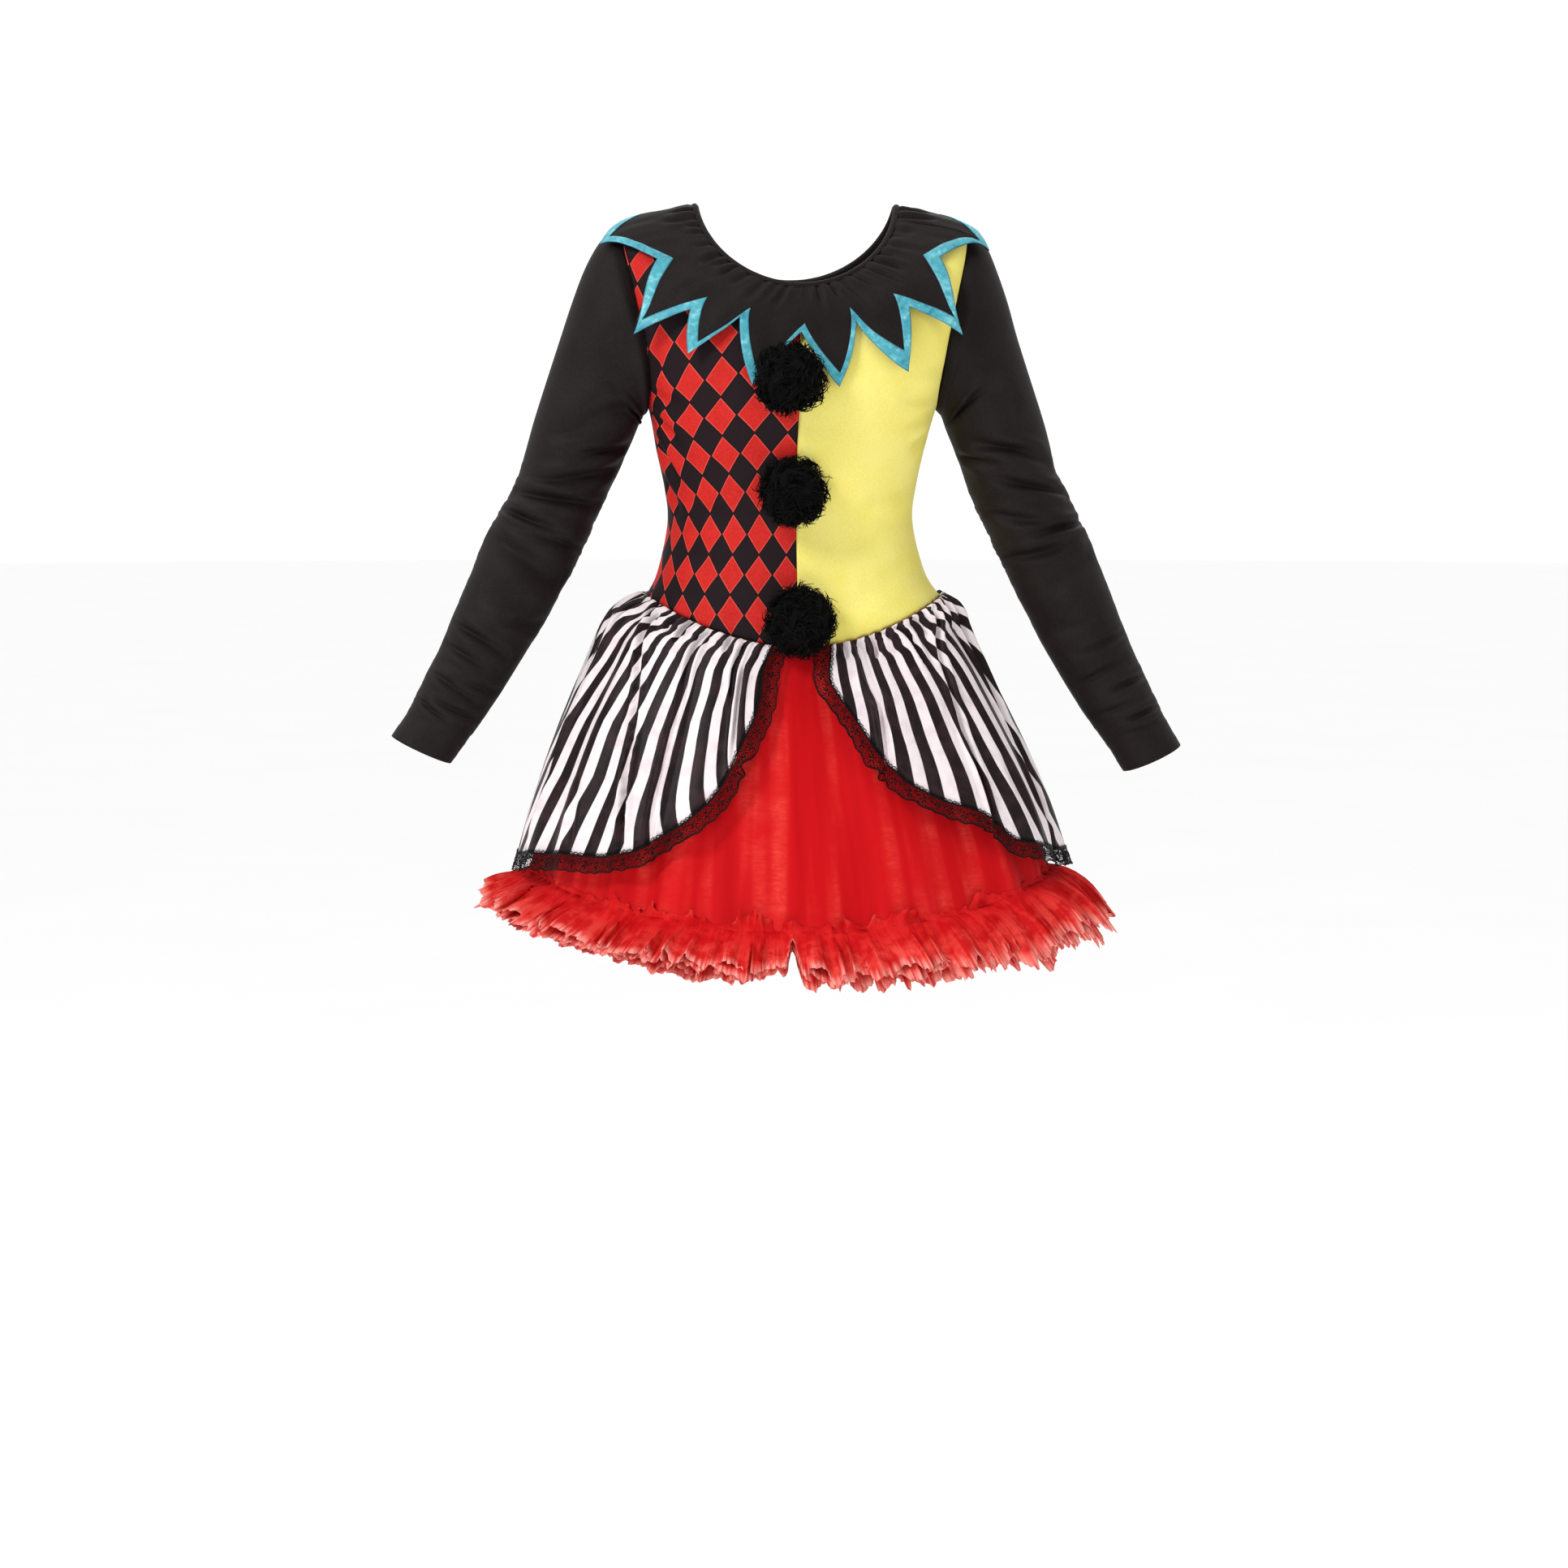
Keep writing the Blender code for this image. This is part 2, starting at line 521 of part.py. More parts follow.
def peplum_pieces(collection):
    """Two front panels and a back panel, each with its own strip of lace."""
    for name, side, edge_table in (("left", 1, PEPLUM_EDGE_LEFT), ("right", -1, PEPLUM_EDGE_RIGHT)):
        angles, rows = front_peplum_grid(edge_table, 6)
        points = part_sides(peplum_point(side * angles, rows), angles, -1)
        edge = np.concatenate([points[:-1, 0], points[-1]])
        inner = np.concatenate([points[:-1, 1], points[-2]])
        inner[len(points) - 1] = points[-2, 1]
        strip = lace_strip(edge, inner)
        trim_lace(strip, -1, -2, -1)
        strip[:, 0] += (strip[:, 1] - strip[:, 0]) * LACE_BELOW_WAIST
        if side < 0:
            points, strip = points[:, ::-1], strip[:, ::-1]
        cloth(f"peplum_front_{name}", points, SATIN_WALL, "striped_satin", collection)
        lace(f"lace_front_{name}", strip, collection)
    angles, rows = half_grid(BACK_PEPLUM_COLUMNS, 6, len(PEPLUM_RINGS) - 1)
    points = part_sides(peplum_point(angles, rows), angles, 1)
    cloth("peplum_back", points, SATIN_WALL, "striped_satin", collection)
    strip = lace_strip(points[-1], points[-2])
    trim_lace(strip, 0, 1, 1)
    trim_lace(strip, -1, -2, 1)
    lace("lace_back", strip, collection)


def lace_strip(edge, inside):
    """The two long edges of a strip of lace, laid over an edge of the peplum in its own plane.

    inside holds, for each point of the edge, a point of the same cloth behind it.
    """
    along = np.gradient(edge, axis=0)
    along /= np.linalg.norm(along, axis=1, keepdims=True)
    out = edge - inside
    out -= along * np.sum(out * along, axis=1, keepdims=True)
    out /= np.linalg.norm(out, axis=1, keepdims=True)
    normals = np.cross(out, along)
    normals *= np.sign(np.sum(normals * edge * (1, 1, 0), axis=1, keepdims=True))
    lifted = edge + normals * (NET_WALL + LACE_LIFT)
    scallop = LACE_WIDTH * (1 + LACE_SCALLOP * np.cos(math.pi * np.arange(len(edge))))
    return np.array([lifted - out * LACE_OVERLAP, lifted + out * scallop[:, None]])


def trim_lace(strip, end, beside, towards):
    """Cuts an end of a strip back to a side seam, on the front (-1) or the back (1) of it."""
    step = strip[:, beside] - strip[:, end]
    share = (1.5 * SEAM_SHIFT * towards - strip[:, end, 1]) / step[:, 1]
    strip[:, end] += step * share[:, None]


def lace(name, strip, collection):
    """A strip of lace with one eyelet cut through each repeat that is wide enough for it."""
    count = strip.shape[1]
    points, faces = strip.reshape(-1, 3).tolist(), []
    for i in range(count - 1):
        corners = (count + i, count + i + 1, i + 1, i)
        if np.linalg.norm(strip[0, i + 1] - strip[0, i]) < EYELET_LEAST:
            faces.append(corners)
            continue
        hole = []
        for across in EYELET_ACROSS[::-1]:
            left, right = (strip[0, k] + (strip[1, k] - strip[0, k]) * across for k in (i, i + 1))
            along = EYELET_ALONG if across == EYELET_ACROSS[1] else EYELET_ALONG[::-1]
            for share in along:
                hole.append(len(points))
                points.append((left + (right - left) * share).tolist())
        for k in range(4):
            after = (k + 1) % 4
            faces.append((corners[k], corners[after], hole[after], hole[k]))
    return sheet(name, np.array(points), faces, NET_WALL, "black_lace", collection)


def skirt_pieces(collection):
    """Front and back of the skirt, and the two layers of frill at its hem."""
    for name, start, towards in (("front", -math.pi / 2, -1), ("back", math.pi / 2, 1)):
        angles, rows = half_grid(SKIRT_COLUMNS, 6, len(SKIRT_RINGS) - 1, start)
        points = part_sides(skirt_point(angles, rows), angles, towards)
        cloth(f"skirt_{name}", points, NET_WALL, "red_net", collection)
        angles, rows = (np.delete(grid, [1, -2], axis=1) for grid in (angles, rows))
        hem, above = (np.delete(line, [1, -2], axis=0) for line in (points[-1], points[-2]))
        down = (hem - above) / np.linalg.norm(hem - above, axis=1, keepdims=True)
        out = ring_normal(SKIRT_RINGS, angles[-1], rows[-1])
        lower = frill(hem + down * SEAM, angles[-1], FRILL_LOWER_RINGS, 1, towards)
        cloth(f"frill_lower_{name}", lower, NET_WALL, "red_net", collection)
        head = hem - down * FRILL_HEAD + out * (NET_WALL + FRILL_LIFT)
        head, angles = halve_steps(head), halve_steps(angles[-1][:, None])[:, 0]
        upper = frill(head, angles, FRILL_UPPER_RINGS, 5, towards)
        cloth(f"frill_upper_{name}", upper, NET_WALL, "red_net", collection)


def halve_steps(line):
    """A line of points with the middle of every step added to it."""
    doubled = np.empty((2 * len(line) - 1, line.shape[1]))
    doubled[::2] = line
    doubled[1::2] = (line[1:] + line[:-1]) / 2
    return doubled


def frill(head, angles, table, salt, towards):
    """A frill from its head on the skirt: pleats that zigzag more and more towards its edge."""
    index = np.arange(len(angles))
    zigzag = np.where(index % 2, 1.0, -1.0) * (0.75 + 0.25 * uneven(index % index[-1], salt))
    rings = [head]
    for row in range(len(table)):
        at = np.full(len(angles), float(row))
        stand = FRILL_WAVE_DEPTH * (0.5 + 0.5 * row) * zigzag
        line = ring_point(table, angles, at) + ring_normal(table, angles, at) * stand[:, None]
        line[:, 2] -= FRILL_TILT * line[:, 0] * row
        rings.append(part_sides(line, angles, towards))
    return np.array(rings)


# ---- pompoms -----------------------------------------------------------------
def pompom(name, height, to_the_left, stand_off, radius, collection):
    """A ball of eighty pointed locks fused at their roots, pressed flatter against the cloth."""
    shape = bmesh.new()
    bmesh.ops.create_icosphere(shape, subdivisions=2, radius=radius * POMPOM_CORE)
    for number, face in enumerate(list(shape.faces)):
        middle = face.calc_center_median()
        length = radius * (1 - POMPOM_CORE) * (1.05 + 0.2 * float(uneven(number, height)))
        lean = Vector([float(uneven(number, height + k)) for k in (1, 2, 3)]) * 0.1 * radius
        if middle.y > POMPOM_SEAT * radius:
            length, lean = POMPOM_STUB * radius, Vector()
        tip = bmesh.ops.poke(shape, faces=[face])["verts"][0]
        tip.co = middle + middle.normalized() * length + lean
    rows = np.linspace(0, NECKLINE_ROW, 400)
    front = ring_point(BODY_RINGS, np.zeros_like(rows), rows)
    at = np.array(np.interp(height, front[:, 2], rows))
    turn = np.array(math.asin(to_the_left / float(smooth_rows(BODY_RINGS, at)[0])))
    seat = Vector(ring_point(BODY_RINGS, turn, at))
    normal = Vector(ring_normal(BODY_RINGS, turn, at, rows_fall=False))
    for corner in shape.verts:
        if corner.co.y > 0:
            corner.co.y *= POMPOM_BACK
    back = max(corner.co.y for corner in shape.verts)
    facing = Vector((0, -1, 0)).rotation_difference(normal)
    for corner in shape.verts:
        away = corner.co + Vector((0, -back - stand_off, 0))
        corner.co = (facing @ away + seat) * MILLIMETRE
    bmesh.ops.recalc_face_normals(shape, faces=shape.faces)
    mesh = bpy.data.meshes.new(name)
    shape.to_mesh(mesh)
    shape.free()
    return add_object(name, mesh, "black_fur", collection)


# ---- the dress -----------------------------------------------------------------
def main():
    for leftover in list(bpy.data.objects):
        bpy.data.objects.remove(leftover)
    dress = bpy.data.collections.new("clown_dress")
    bpy.context.scene.collection.children.link(dress)
    bodice_panel("bodice_front_left", 1, True, "yellow_jersey", dress)
    bodice_panel("bodice_front_right", -1, True, "diamond_jersey", dress)
    bodice_panel("bodice_back_left", 1, False, "yellow_jersey", dress)
    bodice_panel("bodice_back_right", -1, False, "diamond_jersey", dress)
    sleeve("sleeve_left", 1, LEFT_SLEEVE, dress)
    sleeve("sleeve_right", -1, RIGHT_SLEEVE, dress)
    collar_pieces(dress)
    peplum_pieces(dress)
    skirt_pieces(dress)
    for row in POMPOMS:
        pompom(*row, dress)


main()
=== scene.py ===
"""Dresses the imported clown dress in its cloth, ribbon, lace, fur and net.

Every piece is a fine surface on the form of the solid that it stands for: a function of the angle
round the body and of the row down it, or of the turn round a sleeve and of the way along it. The
dress faces -Y, the wearer's left is +X and +Z is up. Lengths are in millimetres until a mesh is
made, and angle 0 is centre front, 90 degrees the wearer's left side and 180 centre back.
"""

from __future__ import annotations

import logging
import math
from dataclasses import dataclass, field
from enum import Enum
from functools import cache, partial

import bpy
import numpy as np
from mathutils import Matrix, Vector


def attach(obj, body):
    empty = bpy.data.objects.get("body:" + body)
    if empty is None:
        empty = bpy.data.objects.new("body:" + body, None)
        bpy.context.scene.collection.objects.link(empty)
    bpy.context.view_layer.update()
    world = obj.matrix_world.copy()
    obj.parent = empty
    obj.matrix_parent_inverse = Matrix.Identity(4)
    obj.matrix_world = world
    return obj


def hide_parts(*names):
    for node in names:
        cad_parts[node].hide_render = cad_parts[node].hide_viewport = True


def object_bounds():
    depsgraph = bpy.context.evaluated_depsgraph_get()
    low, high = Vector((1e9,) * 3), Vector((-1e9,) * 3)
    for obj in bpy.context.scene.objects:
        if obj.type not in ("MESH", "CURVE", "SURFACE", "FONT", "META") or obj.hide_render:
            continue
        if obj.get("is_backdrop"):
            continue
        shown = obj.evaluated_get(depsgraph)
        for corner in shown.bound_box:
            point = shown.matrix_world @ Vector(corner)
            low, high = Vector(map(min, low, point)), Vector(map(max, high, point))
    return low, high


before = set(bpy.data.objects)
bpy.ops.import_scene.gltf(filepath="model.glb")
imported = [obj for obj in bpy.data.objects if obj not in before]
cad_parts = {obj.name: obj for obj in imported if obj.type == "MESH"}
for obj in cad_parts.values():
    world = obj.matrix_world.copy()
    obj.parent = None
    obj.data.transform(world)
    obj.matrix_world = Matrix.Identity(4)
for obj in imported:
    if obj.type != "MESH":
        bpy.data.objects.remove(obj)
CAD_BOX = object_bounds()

LOG = logging.getLogger("clown_dress")
Array = np.ndarray
Object, Material = bpy.types.Object, bpy.types.Material
Tree, Socket = bpy.types.NodeTree, bpy.types.NodeSocket
Inputs = tuple | list | dict
MILLIMETRE = 0.001
TURN = 2 * math.pi
SEAM_SHIFT = 0.2  # each piece is drawn back this far from the line of a seam


# ---- helpers for rows, waves and creases ----
def smooth_rows(table: tuple, at: Array) -> Array:
    """Reads every column of a table at fractional row numbers.

    Between two rows each column follows the Catmull-Rom cubic through them and their neighbours.

    Args:
        table: rows of equal length.
        at: row numbers, which may be fractional.
    Returns:
        An array of the shape of at, with the table's columns last.
    """
    rows = np.array(table, float)
    at = np.clip(at, 0, len(rows) - 1)
    low = np.clip(np.floor(at).astype(int), 0, len(rows) - 2)
    share = (at - low)[..., None]
    first, second = rows[low], rows[low + 1]
    before = np.where((low == 0)[..., None], 2 * first - second, rows[np.maximum(low - 1, 0)])
    after = np.where(
        (low == len(rows) - 2)[..., None],
        2 * second - first,
        rows[np.minimum(low + 2, len(rows) - 1)],
    )
    cubic = 3 * (first - second) + after - before
    square = 2 * before - 5 * first + 4 * second - after
    return first + 0.5 * share * (second - before + share * (square + share * cubic))


def fold_wave(angle: Array, count: int, salt: float) -> Array:
    """Soft folds round the body, unevenly spaced.

    wave = strength * (1 + cos(count * angle + slow drifts)) / 2, with strength between 0.56 and 1.

    Args:
        angle: round the body.
        count: how many folds there are once round.
        salt: sets how they drift.
    Returns:
        0 in the hollows and up to 1 on the ridges.
    """
    phase = count * angle + 1.6 * np.sin(3 * angle + salt) + 0.9 * np.sin(7 * angle + 2.1 * salt)
    strength = 0.78 + 0.22 * np.sin(5 * angle + 1.7 * salt)
    return strength * (0.5 + 0.5 * np.cos(phase))


def wander(x: Array, salt: float) -> Array:
    """A smooth irregular line: five sines whose rates don't divide.

    Args:
        x: places along the line.
        salt: picks one of many such lines.
    Returns:
        Heights between about -1 and 1.
    """
    total = np.zeros_like(np.asarray(x, float))
    for k in range(5):
        total += np.sin(x * 1.71**k + salt * (2.3 + 1.9 * k)) / 1.25**k
    return total / 2.6


def scatter(index: Array, salt: float) -> Array:
    """A steady scatter between 0 and 1 for each whole number."""
    wave = np.sin(np.asarray(index, float) * 12.9898 + salt * 78.233) * 43758.5453
    return wave - np.floor(wave)


def unit(vectors: Array) -> Array:
    """The vectors scaled to a length of 1."""
    return vectors / np.maximum(np.linalg.norm(vectors, axis=-1, keepdims=True), 1e-9)


def ease(x: Array) -> Array:
    """A soft step from 0 to 1 as x goes from 0 to 1: 3x^2 - 2x^3."""
    x = np.clip(x, 0, 1)
    return x * x * (3 - 2 * x)


@dataclass(frozen=True)
class Crease:
    """A valley in the cloth between two low shoulders, from one point of a surface to another.

    The points are pairs in the surface's own two parameters.
    """

    start: tuple[float, float]
    end: tuple[float, float]
    depth: float
    width: float

    def fall(self, across: Array, down: Array, size_across: Array, size_down: float) -> Array:
        """How far the cloth falls in at each point, in millimetres.

        fall = depth * taper * (exp(-(d/w)^2) - 0.45 exp(-((d - 2.1 w)/(1.2 w))^2)), where d is
        the distance from the crease's line and taper = sin(pi t)^0.6 along it.

        Args:
            across, down: the two parameters at each point.
            size_across, size_down: millimetres for one unit of each.
        Returns:
            Millimetres inwards, less than 0 on the shoulders.
        """
        run = (self.end[0] - self.start[0], self.end[1] - self.start[1])
        px, py = (across - self.start[0]) * size_across, (down - self.start[1]) * size_down
        rx, ry = run[0] * size_across, run[1] * size_down
        t = np.clip((px * rx + py * ry) / (rx * rx + ry * ry), 0, 1)
        distance = np.hypot(px - t * rx, py - t * ry)
        taper = np.sin(math.pi * np.clip(t, 0.02, 0.98)) ** 0.6
        valley = np.exp(-((distance / self.width) ** 2))
        shoulder = np.exp(-(((distance - 2.1 * self.width) / (1.2 * self.width)) ** 2))
        return self.depth * taper * (valley - 0.45 * shoulder)


def creases_fall(
    creases: tuple, across: Array, down: Array, size_across: Array, size_down: float
) -> Array:
    """The sum of what all the creases take from a surface.

    Args:
        creases: rows of start, end, depth and width.
        across, down, size_across, size_down: as for one crease.
    Returns:
        Millimetres inwards.
    """
    total = np.zeros(np.broadcast(across, down).shape)
    for row in creases:
        crease = Crease(row[0:2], row[2:4], row[4], row[5])
        total += crease.fall(across, down, size_across, size_down)
    return total


# ---- rings round the body ----
RIDGE = 0.1  # how broadly a ring is rounded where its front and back meet at the sides


@dataclass(frozen=True)
class Rings:
    """A surface through rings that run once round the body.

    The columns of the table are half_width, side_z, front_y, front_z, back_y, back_z, roundness,
    droop and lean. A ring is half_width wide at the sides, where it lies at side_z, and it dips
    to front_z at centre front and back_z at centre back. A roundness of 1 is an ellipse, and less
    is squarer.
    """

    table: tuple
    rows_fall: bool = True

    def point(self, angle: Array, at: Array) -> Array:
        """The point at an angle round the body and a fractional row.

        x = lean + half_width * sin^roundness, y = depth * cos^roundness, and
        z = side_z + (lowest - side_z) * dip^droop, where dip rises from 0 at the sides to 1.

        Args:
            angle, at: angles and rows, of shapes that broadcast.
        Returns:
            Points in millimetres.
        """
        angle, at = np.broadcast_arrays(np.asarray(angle, float), np.asarray(at, float))
        half_width, side_z, front_y, front_z, back_y, back_z, roundness, droop, lean = np.moveaxis(
            smooth_rows(self.table, at), -1, 0
        )
        sine, cosine = np.sin(angle), np.cos(angle)
        dip = (np.sqrt(cosine**2 + RIDGE**2) - RIDGE) / (math.sqrt(1 + RIDGE**2) - RIDGE)
        depth = np.where(cosine >= 0, front_y, back_y)
        lowest = np.where(cosine >= 0, front_z, back_z)
        return np.stack(
            [
                lean + half_width * np.sign(sine) * np.abs(sine) ** roundness,
                depth * np.abs(cosine) ** roundness,
                side_z + (lowest - side_z) * dip**droop,
            ],
            axis=-1,
        )

    def normal(self, angle: Array, at: Array) -> Array:
        """The outward unit normal, from short steps along both parameters.

        Args:
            angle, at: as for a point.
        Returns:
            A unit vector.
        """
        turn, step = 0.01, 0.02
        along = self.point(angle + turn, at) - self.point(angle - turn, at)
        down = self.point(angle, at + step) - self.point(angle, at - step)
        return unit(np.cross(down, along) if self.rows_fall else np.cross(along, down))

    def size_across(self, angle: Array, at: Array) -> Array:
        """Millimetres for one radian round the body."""
        turn = 0.01
        step = self.point(angle + turn, at) - self.point(angle - turn, at)
        return np.linalg.norm(step, axis=-1) / (2 * turn)


BODY = Rings(
    (
        (163, -431, -118, -480, 106, -428, 1.00, 2, -1),  # waist seam
        (148, -403, -109, -438, 98, -400, 1.00, 2, -3),  # top of the hips
        (136, -350, -100, -370, 87, -350, 0.97, 2, -4),  # waist
        (139, -312, -104, -318, 90, -312, 0.95, 2, -4),  # ribs
        (148, -270, -114, -268, 97, -270, 0.93, 2, -4),  # under the bust
        (158, -226, -122, -219, 103, -226, 0.90, 2, -2),  # bust and armpits
        (179, -162, -119, -177, 105, -178, 0.86, 1.75, 0),  # chest
        (194, -90, -110, -148, 103, -151, 0.86, 1.65, 0),  # shoulder point
        (192, -29, -101, -125, 98, -126, 0.90, 1.45, 0),  # end of the shoulder seam
        (150, -14, -92, -106, 91, -102, 0.95, 1.25, 1),  # middle of the shoulder seam
        (109, -3, -84, -90, 82, -80, 1.00, 1.05, 2),  # neckline
    ),
    rows_fall=False,
)
ARMHOLE_ROW = 6.55
ARMHOLE_HALF_ROWS = 1.5
ARMHOLE_FRONT_BITE = math.radians(28)
ARMHOLE_BACK_BITE = math.radians(26)


def armhole(turn: Array, gap_rows: float = 0.0, gap_angle: float = 0.0) -> tuple[Array, Array]:
    """Points on the armhole's oval, whose front half is wider than its back half.

    Args:
        turn: 0 is the top and 90 degrees the front.
        gap_rows, gap_angle: how much smaller the oval is drawn.
    Returns:
        Angles and rows on the body.
    """
    sine = np.sin(turn)
    bite = np.where(sine >= 0, ARMHOLE_FRONT_BITE, ARMHOLE_BACK_BITE) - gap_angle
    return math.pi / 2 - bite * sine, ARMHOLE_ROW + (ARMHOLE_HALF_ROWS - gap_rows) * np.cos(turn)


def side_gap(angle: Array, gap: float = SEAM_SHIFT) -> Array:
    """How far the front or back of a skirt is drawn back, which fades out from its side seams."""
    return gap * np.abs(np.sin(angle)) ** 60


# ---- meshes ----
def grid_quads(rows: int, columns: int, closed: bool, flip: bool) -> tuple[Array, Array]:
    """The quads of a grid of points, and their corners on a grid that isn't closed.

    Args:
        rows, columns: the grid of points, row by row.
        closed: whether the last column joins the first.
        flip: turns the faces over.
    Returns:
        Two arrays of corner numbers: into the points, and into a grid with one column more.
    """
    spans = columns if closed else columns - 1
    row, column = np.meshgrid(np.arange(rows - 1), np.arange(spans), indexing="ij")
    row, column = row.ravel(), column.ravel()
    wide = columns + 1 if closed else columns
    corner_rows = np.stack([row, row, row + 1, row + 1], -1)
    corner_columns = np.stack([column, column + 1, column + 1, column], -1)
    points = corner_rows * columns + corner_columns % columns
    flat = corner_rows * wide + corner_columns
    if flip:
        points, flat = points[:, ::-1], flat[:, ::-1]
    return points, flat


@dataclass
class Maker:
    """Collects surfaces in millimetres and turns them into one named mesh."""

    points: list = field(default_factory=list)
    faces: list = field(default_factory=list)
    uvs: list = field(default_factory=list)
    count: int = 0
    area: float = 0.0

    def _take(self, points: Array, faces: Array, uvs: Array) -> None:
        """Adds points, faces of equal size and one pair of cloth coordinates per corner.

        Args:
            points, faces, uvs: arrays, with corners numbered from this surface's first point.
        """
        self.points.append(points.reshape(-1, 3))
        self.faces.append(faces + self.count)
        self.uvs.append(uvs.reshape(-1, 2))
        self.count += len(self.points[-1])

    def grid(self, points: Array, uv: Array, closed: bool = False, flip: bool = False) -> Maker:
        """Adds a grid of points.

        Args:
            points: rows of points.
            uv: cloth coordinates, on a grid of one column more if closed.
            closed: whether the last column joins the first.
            flip: turns the faces over.
        Returns:
            This maker.
        """
        quads, flat = grid_quads(points.shape[0], points.shape[1], closed, flip)
        self._take(points, quads, uv.reshape(-1, 2)[flat])
        corners = points.reshape(-1, 3)[quads]
        across = np.cross(corners[:, 2] - corners[:, 0], corners[:, 3] - corners[:, 1])
        self.area += float(np.linalg.norm(across, axis=1).sum() / 2)
        return self

    def lid(self, ring: Array, flip: bool) -> None:
        """Closes a ring with a ladder of faces across it.

        Args:
            ring: an even number of points.
            flip: turns the faces over.
        """
        step = np.arange(len(ring) // 2 - 1)
        quads = np.stack([step, step + 1, len(ring) - 2 - step, len(ring) - 1 - step], -1)
        self._take(ring, quads[:, ::-1] if flip else quads, np.zeros((quads.size, 2)))

    def cords(
        self, paths: Array, out: Array, half: Array | float, flat: float = 1.0, sides: int = 4
    ) -> None:
        """Adds closed cords along paths: sections of equal sides about each point, capped.

        A point of a section is path + half * (cos(a) * side + flat * sin(a) * out), where side is
        square to the path and to out.

        Args:
            paths: points of shape (cords, points, 3).
            out: directions square to the surface, of the shape of paths.
            half: half widths, of a shape that broadcasts to (cords, points).
            flat: thickness as a share of width.
            sides: of a section, an even number.
        """
        number, length = paths.shape[:2]
        side = unit(np.cross(unit(np.gradient(paths, axis=1)), out))
        out = unit(np.cross(side, unit(np.gradient(paths, axis=1))))
        turns = ((np.arange(sides) + 0.5) * TURN / sides)[:, None]
        section = np.cos(turns) * side[:, :, None] + flat * np.sin(turns) * out[:, :, None]
        half = np.broadcast_to(half, (number, length))[..., None, None]
        rings = paths[:, :, None] + half * section
        walls = grid_quads(length, sides, closed=True, flip=False)[0][:, [0, 3, 2, 1]]
        ends = np.array([[0, 1, 2, 3], np.arange(4)[::-1] + (length - 1) * sides])
        quads = np.concatenate([walls, ends])
        quads = (quads + (np.arange(number) * length * sides)[:, None, None]).reshape(-1, 4)
        u = np.arange(number)[:, None, None] * 0.37
        v = (np.arange(length) / (length - 1))[None, :, None] * np.ones(sides)
        uv = np.stack(np.broadcast_arrays(u, v), -1)
        self._take(rings, quads, uv.reshape(-1, 2)[quads])

    def thread_area(self) -> float:
        """Half the area of all the cords' faces, which is what they cover on one side."""
        corners = np.concatenate(self.points)[np.concatenate(self.faces)]
        cross = np.cross(corners[:, 2] - corners[:, 0], corners[:, 3] - corners[:, 1])
        return float(np.linalg.norm(cross, axis=1).sum() / 2) / 2

    def finish(self, name: str, material: Material, wall: float = 0.0) -> Object:
        """Makes the mesh, at the origin.

        Args:
            name: of the piece and its mesh.
            material: all over it.
            wall: thickness that goes inside the surface, in millimetres.
        Returns:
            The piece.
        """
        mesh = bpy.data.meshes.new(name)
        points = np.concatenate(self.points) * MILLIMETRE
        mesh.from_pydata(points.tolist(), [], np.concatenate(self.faces).tolist())
        layer = mesh.uv_layers.new(name="cloth")
        layer.data.foreach_set("uv", np.concatenate([uv.reshape(-1, 2) for uv in self.uvs]).ravel())
        mesh.polygons.foreach_set("use_smooth", np.ones(len(mesh.polygons), bool))
        mesh.materials.append(material)
        piece = bpy.data.objects.new(name, mesh)
        bpy.context.scene.collection.objects.link(piece)
        if wall:
            shell = piece.modifiers.new("wall", "SOLIDIFY")
            shell.thickness, shell.offset = wall * MILLIMETRE, -1
        return piece


def arcs(points: Array, axis: int) -> Array:
    """Running length along one axis of a grid of points, from 0."""
    steps = np.linalg.norm(np.diff(points, axis=axis), axis=-1)
    start = np.zeros_like(np.take(steps, [0], axis=axis))
    return np.concatenate([start, np.cumsum(steps, axis=axis)], axis=axis)


@dataclass(frozen=True)
class Cut:
    """The flat size of a piece of cloth, in millimetres, and its area."""

    width: float
    length: float
    area: float

    @staticmethod
    def of(points: Array, area: float, closed: bool = False) -> Cut:
        """Lays a grid of points flat: its widest row by its longest column.

        Args:
            points: the grid.
            area: of its faces.
            closed: whether the last column joins the first.
        Returns:
            The cut.
        """
        rows = np.concatenate([points, points[:, :1]], axis=1) if closed else points
        width = float(arcs(rows, 1)[:, -1].max())
        length = float(arcs(points, 0)[-1].max())
        return Cut(width, length, min(area, width * length))


LEAST_LENGTH = 10.5  # of a stated cut, in millimetres


def place(
    piece: Object, node: str, slot: str, cut: Cut, held: str,
    rests_on: tuple = (), with_pieces: tuple = (),
) -> None:
    """Rides a piece on the dress, puts it in its solid's place and states its flat cut.

    Args:
        piece, node, slot: the piece, the solid that it replaces and the name of its finish; slot is
            not used.
        cut: as it was laid out.
        held: how the cloth is held; not used.
        rests_on: the names of the pieces under it; not used.
        with_pieces: stitches and the like on it; not used.
    """
    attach(piece, "root")
    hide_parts(node)
    flat = (cut.width * MILLIMETRE, max(cut.length, LEAST_LENGTH) * MILLIMETRE)
    LOG.info("%s: cut %.0f x %.0f mm, %.0f cm2", piece.name, cut.width, cut.length, cut.area / 100)


# ---- materials ----
TIMES = {"operation": "MULTIPLY"}
PLUS = {"operation": "ADD"}
TIMES_PLUS = {"operation": "MULTIPLY_ADD"}
SOFT = {"interpolation_type": "SMOOTHSTEP"}  # a ramp between two numbers, eased at both ends
RGBA = {"data_type": "RGBA"}  # a mix of two colours: socket 0 is the share, 6 and 7 the colours


